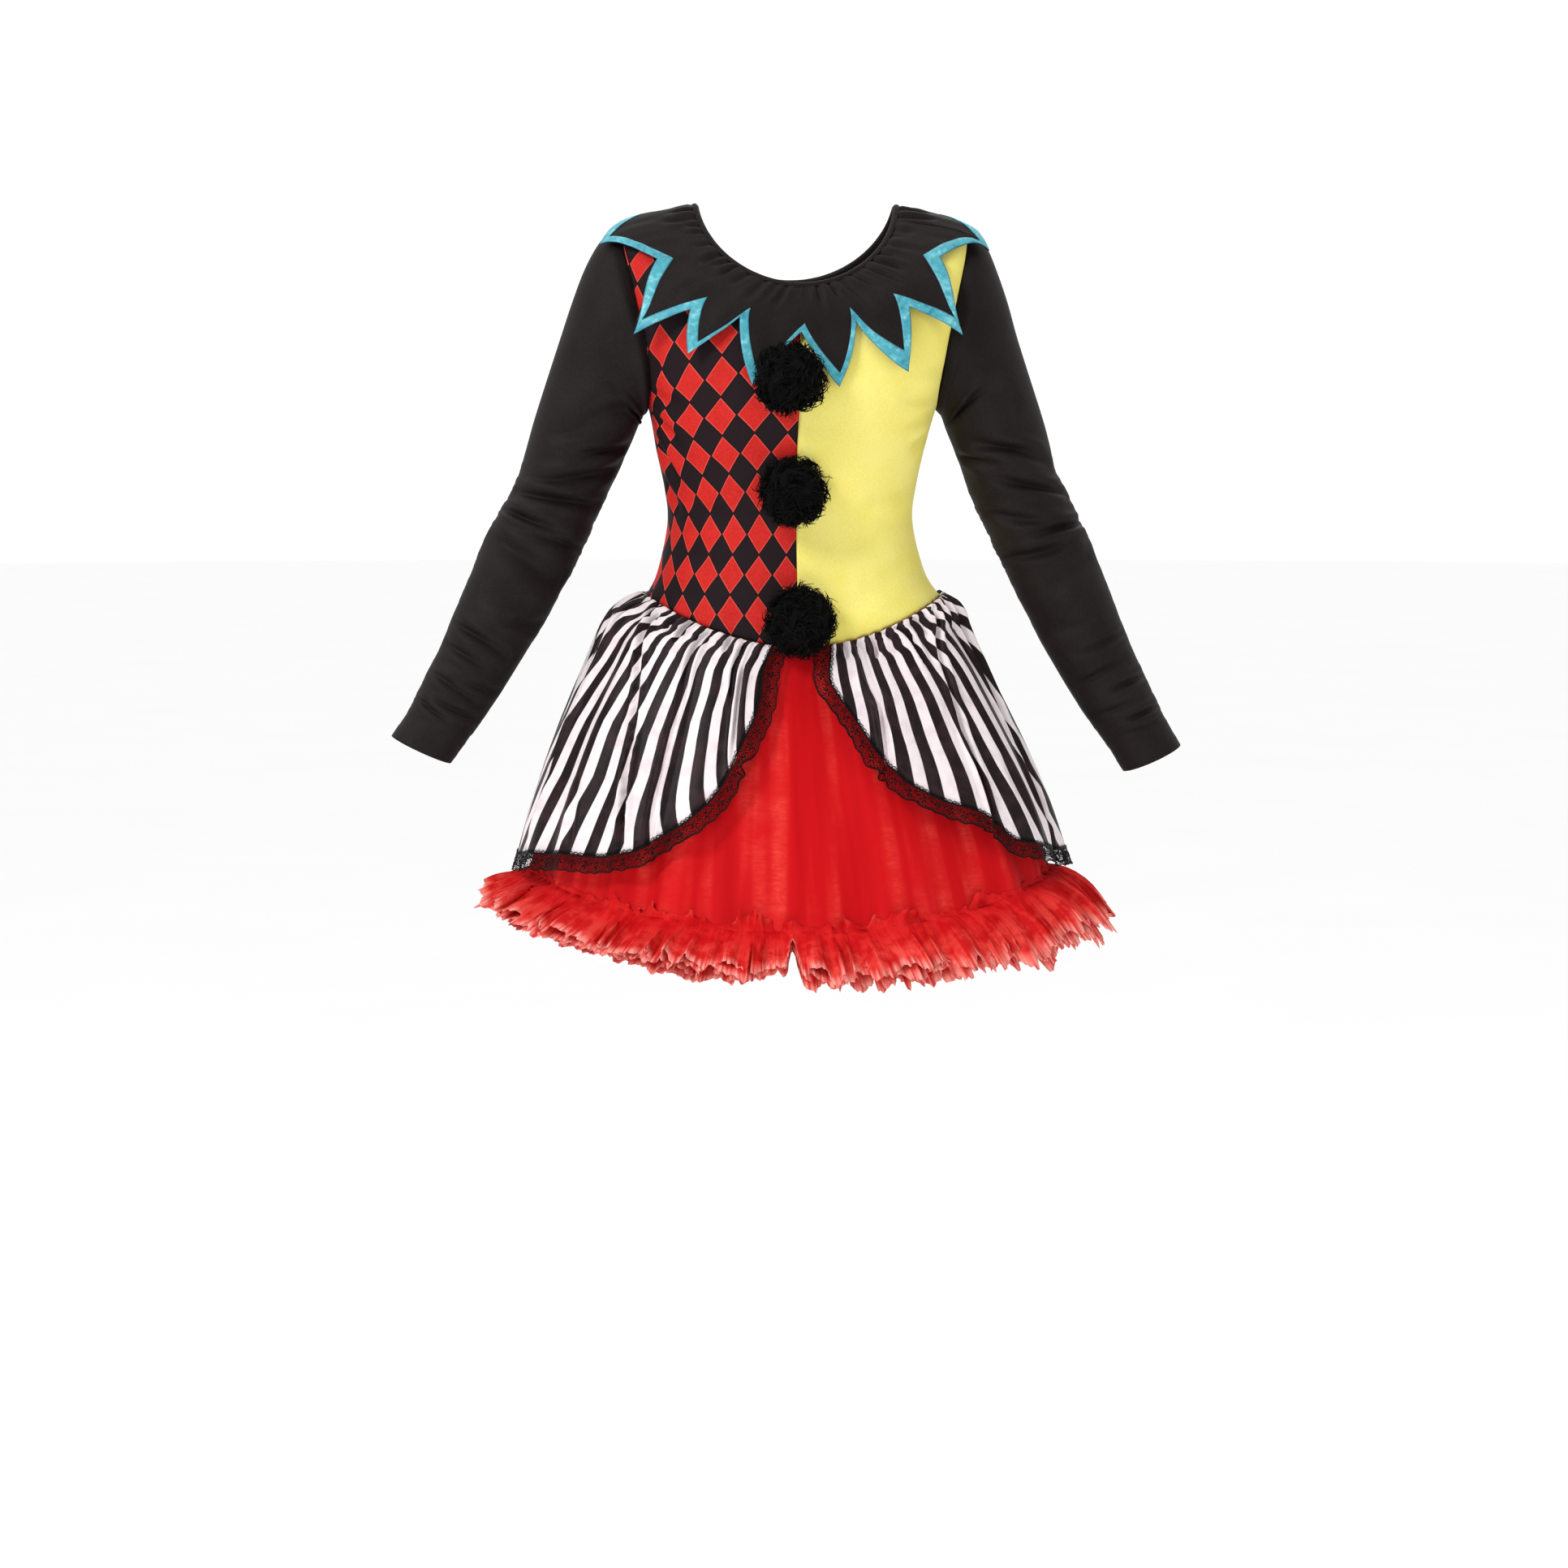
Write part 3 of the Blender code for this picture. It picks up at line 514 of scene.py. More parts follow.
def linear(code: str) -> tuple[float, float, float, float]:
    """The linear colour of an sRGB hex value such as '#c21216'."""
    parts = [int(code[i : i + 2], 16) / 255 for i in (1, 3, 5)]
    return (*(p / 12.92 if p <= 0.04045 else ((p + 0.055) / 1.055) ** 2.4 for p in parts), 1.0)


def add_node(
    tree: Tree, kind: str, inputs: Inputs = (), out: int | str = 0, **settings: object
) -> Socket:
    """Adds a shader node with its settings and links.

    Args:
        tree: the tree it goes into.
        kind: its type, without ShaderNode.
        inputs: a value or another node's output for each socket, in order or by name or number.
        out: the output to return.
        settings: its own properties.
    Returns:
        That output.
    """
    node = tree.nodes.new(f"ShaderNode{kind}")
    for key, value in settings.items():
        setattr(node, key, value)
    for key, source in inputs.items() if isinstance(inputs, dict) else enumerate(inputs):
        if isinstance(source, Socket):
            tree.links.new(source, node.inputs[key])
        else:
            node.inputs[key].default_value = source
    return node.outputs[out]


def grain(where: Socket, size: float, detail: float = 2.0, roughness: float = 0.55) -> dict:
    """What a noise takes for features that are size metres across: its scale is 1 / size."""
    return {"Vector": where, "Scale": 1 / size, "Detail": detail, "Roughness": roughness}


@dataclass(frozen=True)
class Finish:
    """A cloth finish: the numbers that are the same all over it."""

    name: str
    roughness: float
    sheen: float = 0.0
    sheen_tint: str = "#ffffff"
    specular: float = 0.3
    bump: float = 0.0  # millimetres

    def start(self) -> tuple[Material, partial]:
        """A material with its shader set and nothing linked yet, and add_node for its tree.

        Returns:
            The material, and the function that adds its nodes.
        """
        material = bpy.data.materials.new(self.name)
        material.use_nodes = True
        shader = material.node_tree.nodes["Principled BSDF"]
        shader.inputs["Roughness"].default_value = self.roughness
        shader.inputs["Specular IOR Level"].default_value = self.specular
        shader.inputs["Sheen Weight"].default_value = self.sheen
        shader.inputs["Sheen Roughness"].default_value = 0.4
        shader.inputs["Sheen Tint"].default_value = linear(self.sheen_tint)
        return material, partial(add_node, material.node_tree)

    def end(self, material: Material, colour: Socket, height: Socket | None = None) -> Material:
        """Links a colour to the shader and, where there is one, a height from 0 to 1 as bump.

        Args:
            material, colour, height: what start made, and outputs of its nodes.
        Returns:
            The finished material.
        """
        tree = material.node_tree
        shader = tree.nodes["Principled BSDF"]
        tree.links.new(colour, shader.inputs["Base Color"])
        if height is not None:
            values = {"Strength": 1.0, "Distance": self.bump * MILLIMETRE, "Height": height}
            tree.links.new(add_node(tree, "Bump", values), shader.inputs["Normal"])
        return material


@dataclass(frozen=True)
class Jersey(Finish):
    """Single jersey of cotton and polyester, knitted: soft, dull, with a faint bloom of fibre ends.

    The real wales are 0.7 mm apart and too fine to show, so they are drawn 1.8 mm apart.
    """

    colour: str = "#231f21"
    light: str = "#2e2a2c"
    unit_size: tuple[float, float] = (1.0, 1.0)  # millimetres for one unit of cloth coordinates
    wales: float = 1.8  # from rib to rib, in millimetres
    courses: float = 2.2  # from row to row

    def make(self) -> Material:
        """Colour with a soft fleck, over fine ribs.

        Returns:
            The material.
        """
        material, add = self.start()
        where = add("TexCoord", out="Object")
        fleck = add("TexNoise", grain(where, 0.0022))
        cloud = add("TexNoise", grain(where, 0.05))
        share = add("Math", (fleck, 0.5, add("Math", (cloud, 0.5), **TIMES)), **TIMES_PLUS)
        share = add("MapRange", (share, 0.35, 0.65), **SOFT)
        colour = add("Mix", {0: share, 6: linear(self.colour), 7: linear(self.light)}, 2, **RGBA)
        return self.end(material, colour, self.ribs(add, fleck))

    def ribs(self, add: partial, fleck: Socket) -> Socket:
        """Ribs and rows of loops: 0.6 (1/2 + (sin across + 0.6 sin along) / 4) + 0.8 fleck.

        Args:
            add: adds a node.
            fleck: the noise of the fibres.
        Returns:
            The height of the knit.
        """
        u = add("SeparateXYZ", (add("UVMap", uv_map="cloth"),))
        across = add("Math", (u, TURN * self.unit_size[0] / self.wales), **TIMES)
        along = add("Math", (u.node.outputs[1], TURN * self.unit_size[1] / self.courses), **TIMES)
        across, along = (add("Math", (x,), operation="SINE") for x in (across, along))
        total = add("Math", (across, add("Math", (along, 0.6), **TIMES)), **PLUS)
        loops = add("Math", (total, 0.25, 0.5), **TIMES_PLUS)
        return add("Math", (loops, 0.6, add("Math", (fleck, 0.8), **TIMES)), **TIMES_PLUS)


@dataclass(frozen=True)
class DiamondJersey(Jersey):
    """Jersey printed with red and black diamonds that stand point to point.

    A thin black line lies round each diamond, and the red ones have a paler hairline inside it.
    One unit of the cloth coordinates is one diamond across and one diamond down.
    """

    red: str = "#cb2822"
    red_shade: str = "#b21c18"
    black: str = "#1e1015"
    black_shade: str = "#170b0f"
    line: str = "#100709"
    hairline: str = "#ea6a5b"
    line_share: float = 0.024  # of the diamonds' spacing, half the line's width
    unit_size: tuple[float, float] = (33.0, 44.0)

    def make(self) -> Material:
        """Diamonds on the cloth coordinates: floors of u + v and u - v say which colour it is.

        Returns:
            The material.
        """
        material, add = self.start()
        where = add("TexCoord", out="Object")
        u = add("SeparateXYZ", (add("UVMap", uv_map="cloth"),))
        v = u.node.outputs[1]
        rising = add("Math", (add("Math", (u, v), **PLUS), 40.5), **PLUS)
        falling = add("Math", (add("Math", (u, v), operation="SUBTRACT"), 40.5), **PLUS)
        floors = [add("Math", (x,), operation="FLOOR") for x in (rising, falling)]
        floors = add("Math", floors, **PLUS)
        odd = add("Math", (floors, 2.0), operation="MODULO")
        edges = [add("Math", (x, 0.5), operation="PINGPONG") for x in (rising, falling)]
        edge = add("Math", edges, operation="MINIMUM")
        fleck = add("TexNoise", grain(where, 0.0025))
        cloud = add("TexNoise", grain(where, 0.03))
        share = add("Math", (fleck, 0.6, add("Math", (cloud, 0.4), **TIMES)), **TIMES_PLUS)
        share = add("MapRange", (share, 0.3, 0.75), **SOFT)
        red = add("Mix", {0: share, 6: linear(self.red), 7: linear(self.red_shade)}, 2, **RGBA)
        pale = add("MapRange", (edge, self.line_share * 3.2, self.line_share * 1.6), **SOFT)
        pale = add("Math", (pale, 0.5), **TIMES)
        red = add("Mix", {0: pale, 6: red, 7: linear(self.hairline)}, 2, **RGBA)
        blacks = {6: linear(self.black), 7: linear(self.black_shade)}
        black = add("Mix", {0: fleck, **blacks}, 2, **RGBA)
        colour = add("Mix", {0: odd, 6: red, 7: black}, 2, **RGBA)
        lined = add("MapRange", (edge, self.line_share * 1.5, self.line_share * 0.7), **SOFT)
        colour = add("Mix", {0: lined, 6: colour, 7: linear(self.line)}, 2, **RGBA)
        return self.end(material, colour, self.ribs(add, fleck))


@dataclass(frozen=True)
class StripedSatin(Finish):
    """Polyester satin printed in stripes: smooth, with a soft broad gleam on its folds.

    One unit across the cloth coordinates is one black stripe and one white one.
    """

    black: str = "#190d10"
    black_light: str = "#2d1b1f"
    white: str = "#ece1e3"
    white_shade: str = "#decfd3"

    def make(self) -> Material:
        """Stripes where the share of a unit is over a half, with faint threads along them.

        Returns:
            The material.
        """
        material, add = self.start()
        cloth = add("UVMap", uv_map="cloth")
        u = add("Math", (add("SeparateXYZ", (cloth,)), 50.0), **PLUS)
        side = add("Math", (u, 0.5), operation="PINGPONG")
        stripe = add("MapRange", (side, 0.25, 0.28), **SOFT)
        cloud = add("TexNoise", grain(add("TexCoord", out="Object"), 0.018, 3.0))
        along = add("Mapping", {"Vector": cloth, "Scale": (1, 1 / 12, 1)})
        thread = add("TexNoise", grain(along, 0.02))
        shine = add("MapRange", (cloud, 0.4, 0.7), **SOFT)
        shade = add("MapRange", (cloud, 0.42, 0.75), **SOFT)
        blacks = {6: linear(self.black), 7: linear(self.black_light)}
        whites = {6: linear(self.white), 7: linear(self.white_shade)}
        black = add("Mix", {0: shine, **blacks}, 2, **RGBA)
        white = add("Mix", {0: shade, **whites}, 2, **RGBA)
        colour = add("Mix", {0: stripe, 6: black, 7: white}, 2, **RGBA)
        return self.end(material, colour, thread)


@dataclass(frozen=True)
class Ribbon(Finish):
    """Blue satin ribbon: woven, with a crushed gleam that runs from deep to pale blue."""

    deep: str = "#257c90"
    middle: str = "#459fae"
    pale: str = "#7cc8d0"
    rim: str = "#17566f"

    def make(self) -> Material:
        """Three blues in mottled patches, the painted gleam of the crushed satin, and a darker rim
        along both edges.

        Returns:
            The material.
        """
        material, add = self.start()
        where = add("TexCoord", out="Object")
        mottle = add("TexNoise", grain(where, 0.006, 4.0, 0.65))
        broad = add("TexNoise", grain(where, 0.025))
        share = add("Math", (mottle, 0.55, add("Math", (broad, 0.45), **TIMES)), **TIMES_PLUS)
        # painted reflection: the crushed gleam, from deep to pale blue
        low, high = (add("MapRange", (share, x, x + 0.16), **SOFT) for x in (0.34, 0.5))
        colour = add("Mix", {0: low, 6: linear(self.deep), 7: linear(self.middle)}, 2, **RGBA)
        colour = add("Mix", {0: high, 6: colour, 7: linear(self.pale)}, 2, **RGBA)
        across = add("SeparateXYZ", (add("UVMap", uv_map="cloth"),), 1)
        edge = add("Math", (across, 0.5), operation="PINGPONG")
        edge = add("Math", (add("MapRange", (edge, 0.11, 0.03), **SOFT), 0.65), **TIMES)
        colour = add("Mix", {0: edge, 6: colour, 7: linear(self.rim)}, 2, **RGBA)
        return self.end(material, colour, mottle)


@dataclass(frozen=True)
class Lace(Finish):
    """Black nylon lace: fine threads, nearly black, knotted into net and flowers."""

    colour: str = "#060405"
    light: str = "#110c0e"

    def make(self) -> Material:
        """Near-black with a little variation from thread to thread.

        Returns:
            The material.
        """
        material, add = self.start()
        share = add("TexNoise", grain(add("TexCoord", out="Object"), 0.004))
        colour = add("Mix", {0: share, 6: linear(self.colour), 7: linear(self.light)}, 2, **RGBA)
        return self.end(material, colour, share)


@dataclass(frozen=True)
class Fur(Finish):
    """Long acrylic pile: black, with painted shade deep in the pile at each tuft's root and a
    painted highlight towards its tip.
    """

    # root is the painted shade deep in the pile, tip the painted highlight on the tufts
    root: str = "#020202"
    tip: str = "#0f0f0d"

    def make(self) -> Material:
        """Painted shade at the root, v = 0, and a painted highlight towards the tip by v^1.6, with
        tufts that differ.

        Returns:
            The material.
        """
        material, add = self.start()
        up = add("SeparateXYZ", (add("UVMap", uv_map="cloth"),), 1)
        up = add("Math", (up, 1.6), operation="POWER")
        tuft = add("TexNoise", grain(add("TexCoord", out="Object"), 0.009))
        share = add("Math", (up, add("MapRange", (tuft, 0.35, 0.7), **SOFT)), **TIMES)
        # painted shade at the root, fading to a painted highlight at the tip
        colour = add("Mix", {0: share, 6: linear(self.root), 7: linear(self.tip)}, 2, **RGBA)
        return self.end(material, colour)


@dataclass(frozen=True)
class Organza(Finish):
    """Red polyester organza over its own layers: crisp, with a silky gleam on each fold."""

    deep: str = "#b50a11"
    middle: str = "#cb1218"
    # light is the painted highlight of the streaks of sheen
    light: str = "#e2453a"

    def make(self) -> Material:
        """Deep red with painted highlights: paler, crinkled streaks of sheen that run down the
        cloth, in patches.

        Returns:
            The material.
        """
        material, add = self.start()
        where = add("TexCoord", out="Object")
        cloth = add("UVMap", uv_map="cloth")
        down = add("Mapping", {"Vector": cloth, "Scale": (1, 1 / 16, 1)})
        streak = add("TexNoise", grain(down, 0.26, 2.0, 0.45))
        upright = add("Mapping", {"Vector": where, "Scale": (1 / 3, 1 / 3, 1)})
        crinkle = add("TexNoise", grain(upright, 0.0035, 5.0, 0.7))
        broad = add("MapRange", (streak, 0.25, 0.68), **SOFT)
        colour = add("Mix", {0: broad, 6: linear(self.deep), 7: linear(self.middle)}, 2, **RGBA)
        # painted highlight: streaks of sheen, crinkled and broken into patches
        glint = add("MapRange", (streak, 0.47, 0.7), **SOFT)
        glint = add("Math", (glint, add("MapRange", (crinkle, 0.35, 0.7, 0.35), **SOFT)), **TIMES)
        squat = add("Mapping", {"Vector": where, "Scale": (1, 1, 1 / 0.6)})
        patch = add("TexNoise", grain(squat, 0.06, 2.0, 0.5))
        patch = add("MapRange", (patch, 0.38, 0.62, 0.3), **SOFT)
        glint = add("Math", (add("Math", (glint, patch), **TIMES), 0.8), **TIMES)
        colour = add("Mix", {0: glint, 6: colour, 7: linear(self.light)}, 2, **RGBA)
        return self.end(material, colour, crinkle)


@dataclass(frozen=True)
class Tulle(Finish):
    """Red nylon tulle in gathered layers: deep red where they lie together, with painted light at
    the edge.

    The real holes are 1 mm across; they are drawn as fine streaks that follow the gathers.
    """

    deep: str = "#bb0a11"
    middle: str = "#cd1217"
    # light and tip are painted light: highlights, and light through the thin net, palest at the
    # edge
    light: str = "#ea5a4e"
    tip: str = "#fcb0a4"

    def make(self) -> Material:
        """Red with painted light that pales it towards the edge, v = 1, in streaks along the
        gathers.

        Returns:
            The material.
        """
        material, add = self.start()
        cloth = add("UVMap", uv_map="cloth")
        v = add("SeparateXYZ", (cloth,), 1)
        along = add("Mapping", {"Vector": cloth, "Scale": (1, 1 / 150, 1)})
        streak = add("TexNoise", grain(along, 0.007))
        cloud = add("TexNoise", grain(add("TexCoord", out="Object"), 0.018, 3.0))
        share = add("Math", (streak, 0.35, add("Math", (cloud, 0.65), **TIMES)), **TIMES_PLUS)
        broad = add("MapRange", (share, 0.35, 0.6), **SOFT)
        colour = add("Mix", {0: broad, 6: linear(self.deep), 7: linear(self.middle)}, 2, **RGBA)
        # painted light through the net and on its ridges, growing towards the edge
        pale = add("MapRange", (v, 0.25, 0.95, 0.1, 0.7), **SOFT)
        pale = add("Math", (pale, add("MapRange", (share, 0.42, 0.62, 0.1), **SOFT)), **TIMES)
        colour = add("Mix", {0: pale, 6: colour, 7: linear(self.light)}, 2, **RGBA)
        # painted light: the palest glow at the tips, where light shines through a single layer
        end = add("MapRange", (v, 0.82, 1.02), **SOFT)
        end = add("Math", (end, add("MapRange", (streak, 0.4, 0.62, 0.12, 0.9), **SOFT)), **TIMES)
        colour = add("Mix", {0: end, 6: colour, 7: linear(self.tip)}, 2, **RGBA)
        return self.end(material, colour, streak)


class Finishes(Enum):
    """Every finish on the dress: name, roughness, sheen and its tint, specular level and bump."""

    BLACK_JERSEY = Jersey(
        "black_jersey_knitted", 0.66, 0.0, "#b9b2b4", 0.16, 0.05, colour="#120b0b", light="#1c1515"
    )
    YELLOW_JERSEY = Jersey(
        "yellow_jersey_knitted", 0.85, 0.04, "#fff7cf", 0.2, 0.05,
        colour="#eddf6c", light="#f3e784", unit_size=(33.0, 44.0),
    )
    DIAMOND_JERSEY = DiamondJersey("diamond_jersey_printed", 0.74, 0.0, "#ffd9d2", 0.16, 0.05)
    STRIPED_SATIN = StripedSatin("striped_satin_woven", 0.5, 0.0, "#ffffff", 0.15, 0.04)
    BLUE_RIBBON = Ribbon("blue_satin_ribbon", 0.42, 0.05, "#d6f6ff", 0.4, 0.12)
    BLACK_LACE = Lace("black_lace_knotted", 0.6, 0.0, "#ffffff", 0.1, 0.05)
    BLACK_FUR = Fur("black_acrylic_pile", 0.8, 0.0, "#ffffff", 0.12)
    RED_ORGANZA = Organza("red_organza_woven", 0.6, 0.0, "#ff6a58", 0.05, 0.2)
    RED_TULLE = Tulle("red_tulle_net", 0.7, 0.0, "#ff9d8c", 0.05, 0.04)


@cache
def material(finish: Finishes) -> Material:
    """The material of a finish, made on first use."""
    return finish.value.make()


# ---- bodice ----
class Side(Enum):
    """The wearer's side."""

    LEFT = 1
    RIGHT = -1


# The knit is printed or cut in a lattice that stretches over the bust: the height of each row of
# diamonds at centre front, its number, how far it drops towards the side for each radian, and how
# wide a diamond is there.
LATTICE = (
    (-520, -1.66, 0, 33.5),
    (-447, 0, -2, 32.5),
    (-403.5, 1, 0, 31),
    (-360, 2, 0, 28.4),
    (-313, 3, 7, 29.6),
    (-271, 4, 11.5, 33.6),
    (-229, 5, 14, 37.6),
    (-184, 6, 30, 37.4),
    (-142, 7, 22, 37),
    (-100, 8, 15, 37),
    (0, 10.3, 8, 36),
)
LATTICE_START = 11.0  # from centre front to the middle of the first diamonds

# Creases of the bodice: angle in degrees and row of both ends, depth and width.
FRONT_LEFT_CREASES = (
    (72, 5.35, 44, 5.1, 2.2, 7), (74, 5, 50, 4.6, 2.6, 6.5), (70, 5.7, 50, 5.75, 1.6, 6),
    (76, 4.5, 58, 4, 1.8, 7), (70, 3.2, 30, 2.6, 1, 9), (66, 2.2, 22, 1.9, 1.1, 9.5),
    (60, 1.3, 26, 1.05, 0.9, 8.5), (38, 3.9, 14, 3.7, 0.8, 11), (30, 0.75, 12, 0.85, 0.9, 8),
)
FRONT_RIGHT_CREASES = (
    (72, 5.3, 47, 5, 2, 6.5), (76, 4.9, 56, 4.2, 2.8, 6.5), (79, 4.3, 62, 3.2, 2.6, 6),
    (72, 5.75, 52, 5.9, 1.5, 6), (80, 3.3, 66, 2.4, 1.8, 6.5), (64, 2.7, 30, 2.4, 1.1, 9.5),
    (58, 1.6, 24, 1.4, 0.9, 8.5), (36, 3.6, 12, 3.8, 0.8, 11), (34, 0.8, 15, 0.7, 0.9, 8),
)
BACK_LEFT_CREASES = (
    (108, 5.2, 140, 4.9, 1.8, 7), (104, 4.8, 128, 4.1, 2.2, 6.5), (106, 3.1, 150, 2.8, 1.3, 8.5),
    (108, 2.5, 160, 2.2, 1.6, 8), (112, 1.9, 152, 1.6, 1.4, 8.5), (150, 5.8, 172, 6.6, 0.9, 11),
)
BACK_RIGHT_CREASES = (
    (107, 5.3, 136, 5.1, 1.7, 7), (103, 4.6, 126, 3.8, 2.3, 6.5), (108, 3.3, 148, 3, 1.2, 8.5),
    (106, 2.7, 158, 2.3, 1.7, 8), (110, 2, 156, 1.7, 1.3, 8.5), (148, 6, 170, 6.5, 0.9, 11),
)


@dataclass
class BodicePanel:
    """A quarter of the bodice, from the waist seam to the neckline, cut away at the armhole."""

    name: str
    side: Side
    front: bool
    finish: Finishes
    creases: tuple
    columns: int = 84
    rows_below: int = 58
    rows_beside: int = 30
    rows_above: int = 10
    wall: float = 0.9
    crease_strength: float = 2.0
    row_height: float = 45.0  # millimetres from one row of the body to the next

    def parameters(self) -> tuple[Array, Array, Array]:
        """Angle, row and share of the way from the middle to the panel's outer edge.

        Returns:
            Two grids, and the shares of one row.
        """
        foot, top = ARMHOLE_ROW - ARMHOLE_HALF_ROWS, ARMHOLE_ROW + ARMHOLE_HALF_ROWS
        turns = np.linspace(math.pi, 0, self.rows_beside)
        hole_angles, hole_rows = armhole(turns if self.front else -turns)
        below = np.linspace(0, foot, self.rows_below)[:-1]
        above = np.linspace(top, len(BODY.table) - 1, self.rows_above)[1:]
        rows = np.concatenate([below, hole_rows, above])
        side_seam, shoulder_seam = 0 * below + math.pi / 2, 0 * above + math.pi / 2
        edges = np.concatenate([side_seam, hole_angles, shoulder_seam])
        share = np.linspace(0, 1, self.columns)
        share = share + 0.18 * (ease(share) - share)  # columns lie closer near both seams
        middle = 0 if self.front else math.pi
        angles = middle + (edges[:, None] - middle) * share
        return angles, np.broadcast_to(rows[:, None], angles.shape), share

    def cloth(self, angles: Array, points: Array) -> Array:
        """Cloth coordinates: diamonds from centre front, and rows of diamonds up the cloth.

        u = (length from the middle - start) / width of a diamond, and v is the row's number at
        the height that the cloth would have at the middle.

        Args:
            angles, points: of the panel, on its rings.
        Returns:
            Pairs of u and v.
        """
        heights, numbers, drops, widths = np.array(LATTICE, float).T
        from_middle = np.abs(angles - (0 if self.front else math.pi))
        height = points[..., 2]
        for _ in range(2):  # the drop depends on the height at the middle, so it is found twice
            drop = np.interp(height, heights, drops)
            height = points[..., 2] + drop * np.maximum(from_middle - 0.26, 0)
        width = np.interp(height, heights, widths)
        u = (arcs(points, 1) - LATTICE_START) / width * self.side.value
        return np.stack([u, np.interp(height, heights, numbers)], -1)

    def build(self) -> None:
        """The panel: its ring surface, less its creases and the groove along each seam."""
        angles, rows, share = self.parameters()
        base = BODY.point(self.side.value * angles, rows)
        along = arcs(base, 1)
        seam = np.minimum(along, along[:, -1:] - along)  # millimetres to the nearer seam
        degree = BODY.size_across(angles, rows) * math.pi / 180
        fall = creases_fall(self.creases, np.degrees(angles), rows, degree, self.row_height)
        fall = self.crease_strength * fall
        high = ease((7.0 - rows) / 1.2)  # fades out below the collar
        fall = np.where(fall < 0, fall * high, fall) * np.clip(seam / 9, 0, 1)
        fall += 0.8 * np.exp(-((seam / 1.5) ** 2))
        pucker = 0.7 * np.exp(-rows / 0.16) * wander(angles * 34, 2.0)
        fall += pucker + 0.9 * np.exp(-((rows / 0.035) ** 2))
        soft = wander(angles * 5 + rows * 1.3, 1.0 + self.side.value)
        soft = 0.7 * soft * np.clip(seam / 25, 0, 1) * high
        fall = fall + 0.5 * (soft + np.abs(soft)) * 0.6  # only where it is hollow
        points = base - BODY.normal(self.side.value * angles, rows) * fall[..., None]
        points[..., 0] += SEAM_SHIFT * self.side.value * (1 - share)
        points[..., 1] += SEAM_SHIFT * share * (-1 if self.front else 1)
        flip = self.front == (self.side is Side.RIGHT)
        maker = Maker().grid(points, self.cloth(angles, base), flip=flip)
        piece = maker.finish(f"{self.name}_cloth", material(self.finish), self.wall)
        cut = Cut.of(points, maker.area)
        place(piece, self.name, self.finish.name.lower(), cut, "stretched")


# ---- sleeves ----
# Sections of a sleeve: outer x and z, inner x and z, half the depth, how far forward it lies and
# the share of the armhole's own bend.
RIGHT_SLEEVE = (
    (204, -33, 163.5, -228, 61, 0, 0.85),
    (216, -46, 167, -231, 60, 0, 0.60),
    (230, -72, 169, -235, 59, 0, 0.40),
    (243, -106, 171, -239, 58, 0, 0.22),
    (257, -148, 174, -245, 56, 0, 0.10),
    (283, -228, 184, -268, 53, 0, 0),
    (292, -259, 191, -284, 52, 0, 0),
    (300, -287, 204, -312, 50, 1, 0),
    (308, -308, 217, -340, 48, 3, 0),
    (321, -333, 232, -373, 48, 7, 0),
    (337, -360, 247, -404, 47, 12, 0),
    (363, -422, 280, -463, 44, 24, 0),
    (377, -456, 300, -495, 42, 30, 0),
    (391, -489, 320, -527, 39, 36, 0),
    (408, -522, 340, -557, 37, 41, 0),
    (421, -549, 359, -583, 35, 45, 0),
    (441, -580, 379, -609, 34, 49, 0),
)
LEFT_SLEEVE = (
    (204, -35, 163, -229, 61, 0, 0.85),
    (214, -47, 165, -231, 60, 0, 0.60),
    (226, -76, 167, -236, 59, 0, 0.40),
    (237, -108, 169, -242, 58, 0, 0.22),
    (249, -150, 172, -249, 56, 0, 0.10),
    (275, -230, 181, -272, 53, 0, 0),
    (284, -262, 187, -288, 52, 0, 0),
    (291, -292, 197, -318, 50, 1, 0),
    (304, -317, 208, -343, 48, 3, 0),
    (315, -343, 224, -378, 48, 7, 0),
    (329, -372, 239, -410, 47, 12, 0),
    (352, -434, 270, -474, 44, 24, 0),
    (363, -465, 287, -505, 42, 30, 0),
    (376, -497, 305, -536, 39, 36, 0),
    (391, -530, 324, -566, 37, 41, 0),
    (405, -560, 343, -592, 35, 45, 0),
    (424, -595, 363, -623, 34, 49, 0),
)
# Creases of a sleeve: turn in degrees (0 outer side, 90 front, 180 inner side) and section
# number of both ends, depth and width. The front ones first, then quieter ones at the back.
RIGHT_SLEEVE_CREASES = (
    (150, 4.6, 60, 6.5, 2.6, 7), (165, 5.8, 92, 7.2, 2.2, 6), (175, 3.2, 120, 5, 2.4, 7),
    (160, 7.2, 60, 8.4, 2.8, 6), (150, 8.7, 30, 9.2, 3.2, 5.5), (120, 9.9, 8, 10, 3, 4.5),
    (165, 10.2, 70, 10.3, 2, 5), (150, 11.2, 20, 11, 2.6, 5), (120, 11.7, 60, 11.9, 1.8, 4.5),
    (168, 11.9, 95, 12.2, 1.8, 4.5), (140, 13.1, 12, 12.9, 2.2, 4), (110, 13.7, 20, 13.6, 1.8, 3.6),
    (160, 14.2, 70, 14.4, 1.6, 3.6), (130, 14.7, 8, 14.5, 2.2, 3.4),
    (150, 15.2, 55, 15.3, 1.5, 3.2), (95, 15.7, 12, 15.5, 1.8, 3.2), (200, 5.2, 290, 6.4, 2, 7),
    (210, 7.4, 310, 7.9, 2.4, 6), (205, 8.9, 320, 9.3, 2.4, 5.5), (215, 10.3, 335, 10.2, 2.6, 5),
    (220, 11.5, 320, 11.6, 1.8, 5), (230, 13.2, 340, 13, 1.8, 4), (215, 14.5, 330, 14.6, 1.6, 3.6),
    (240, 15.4, 345, 15.4, 1.4, 3.2),
)
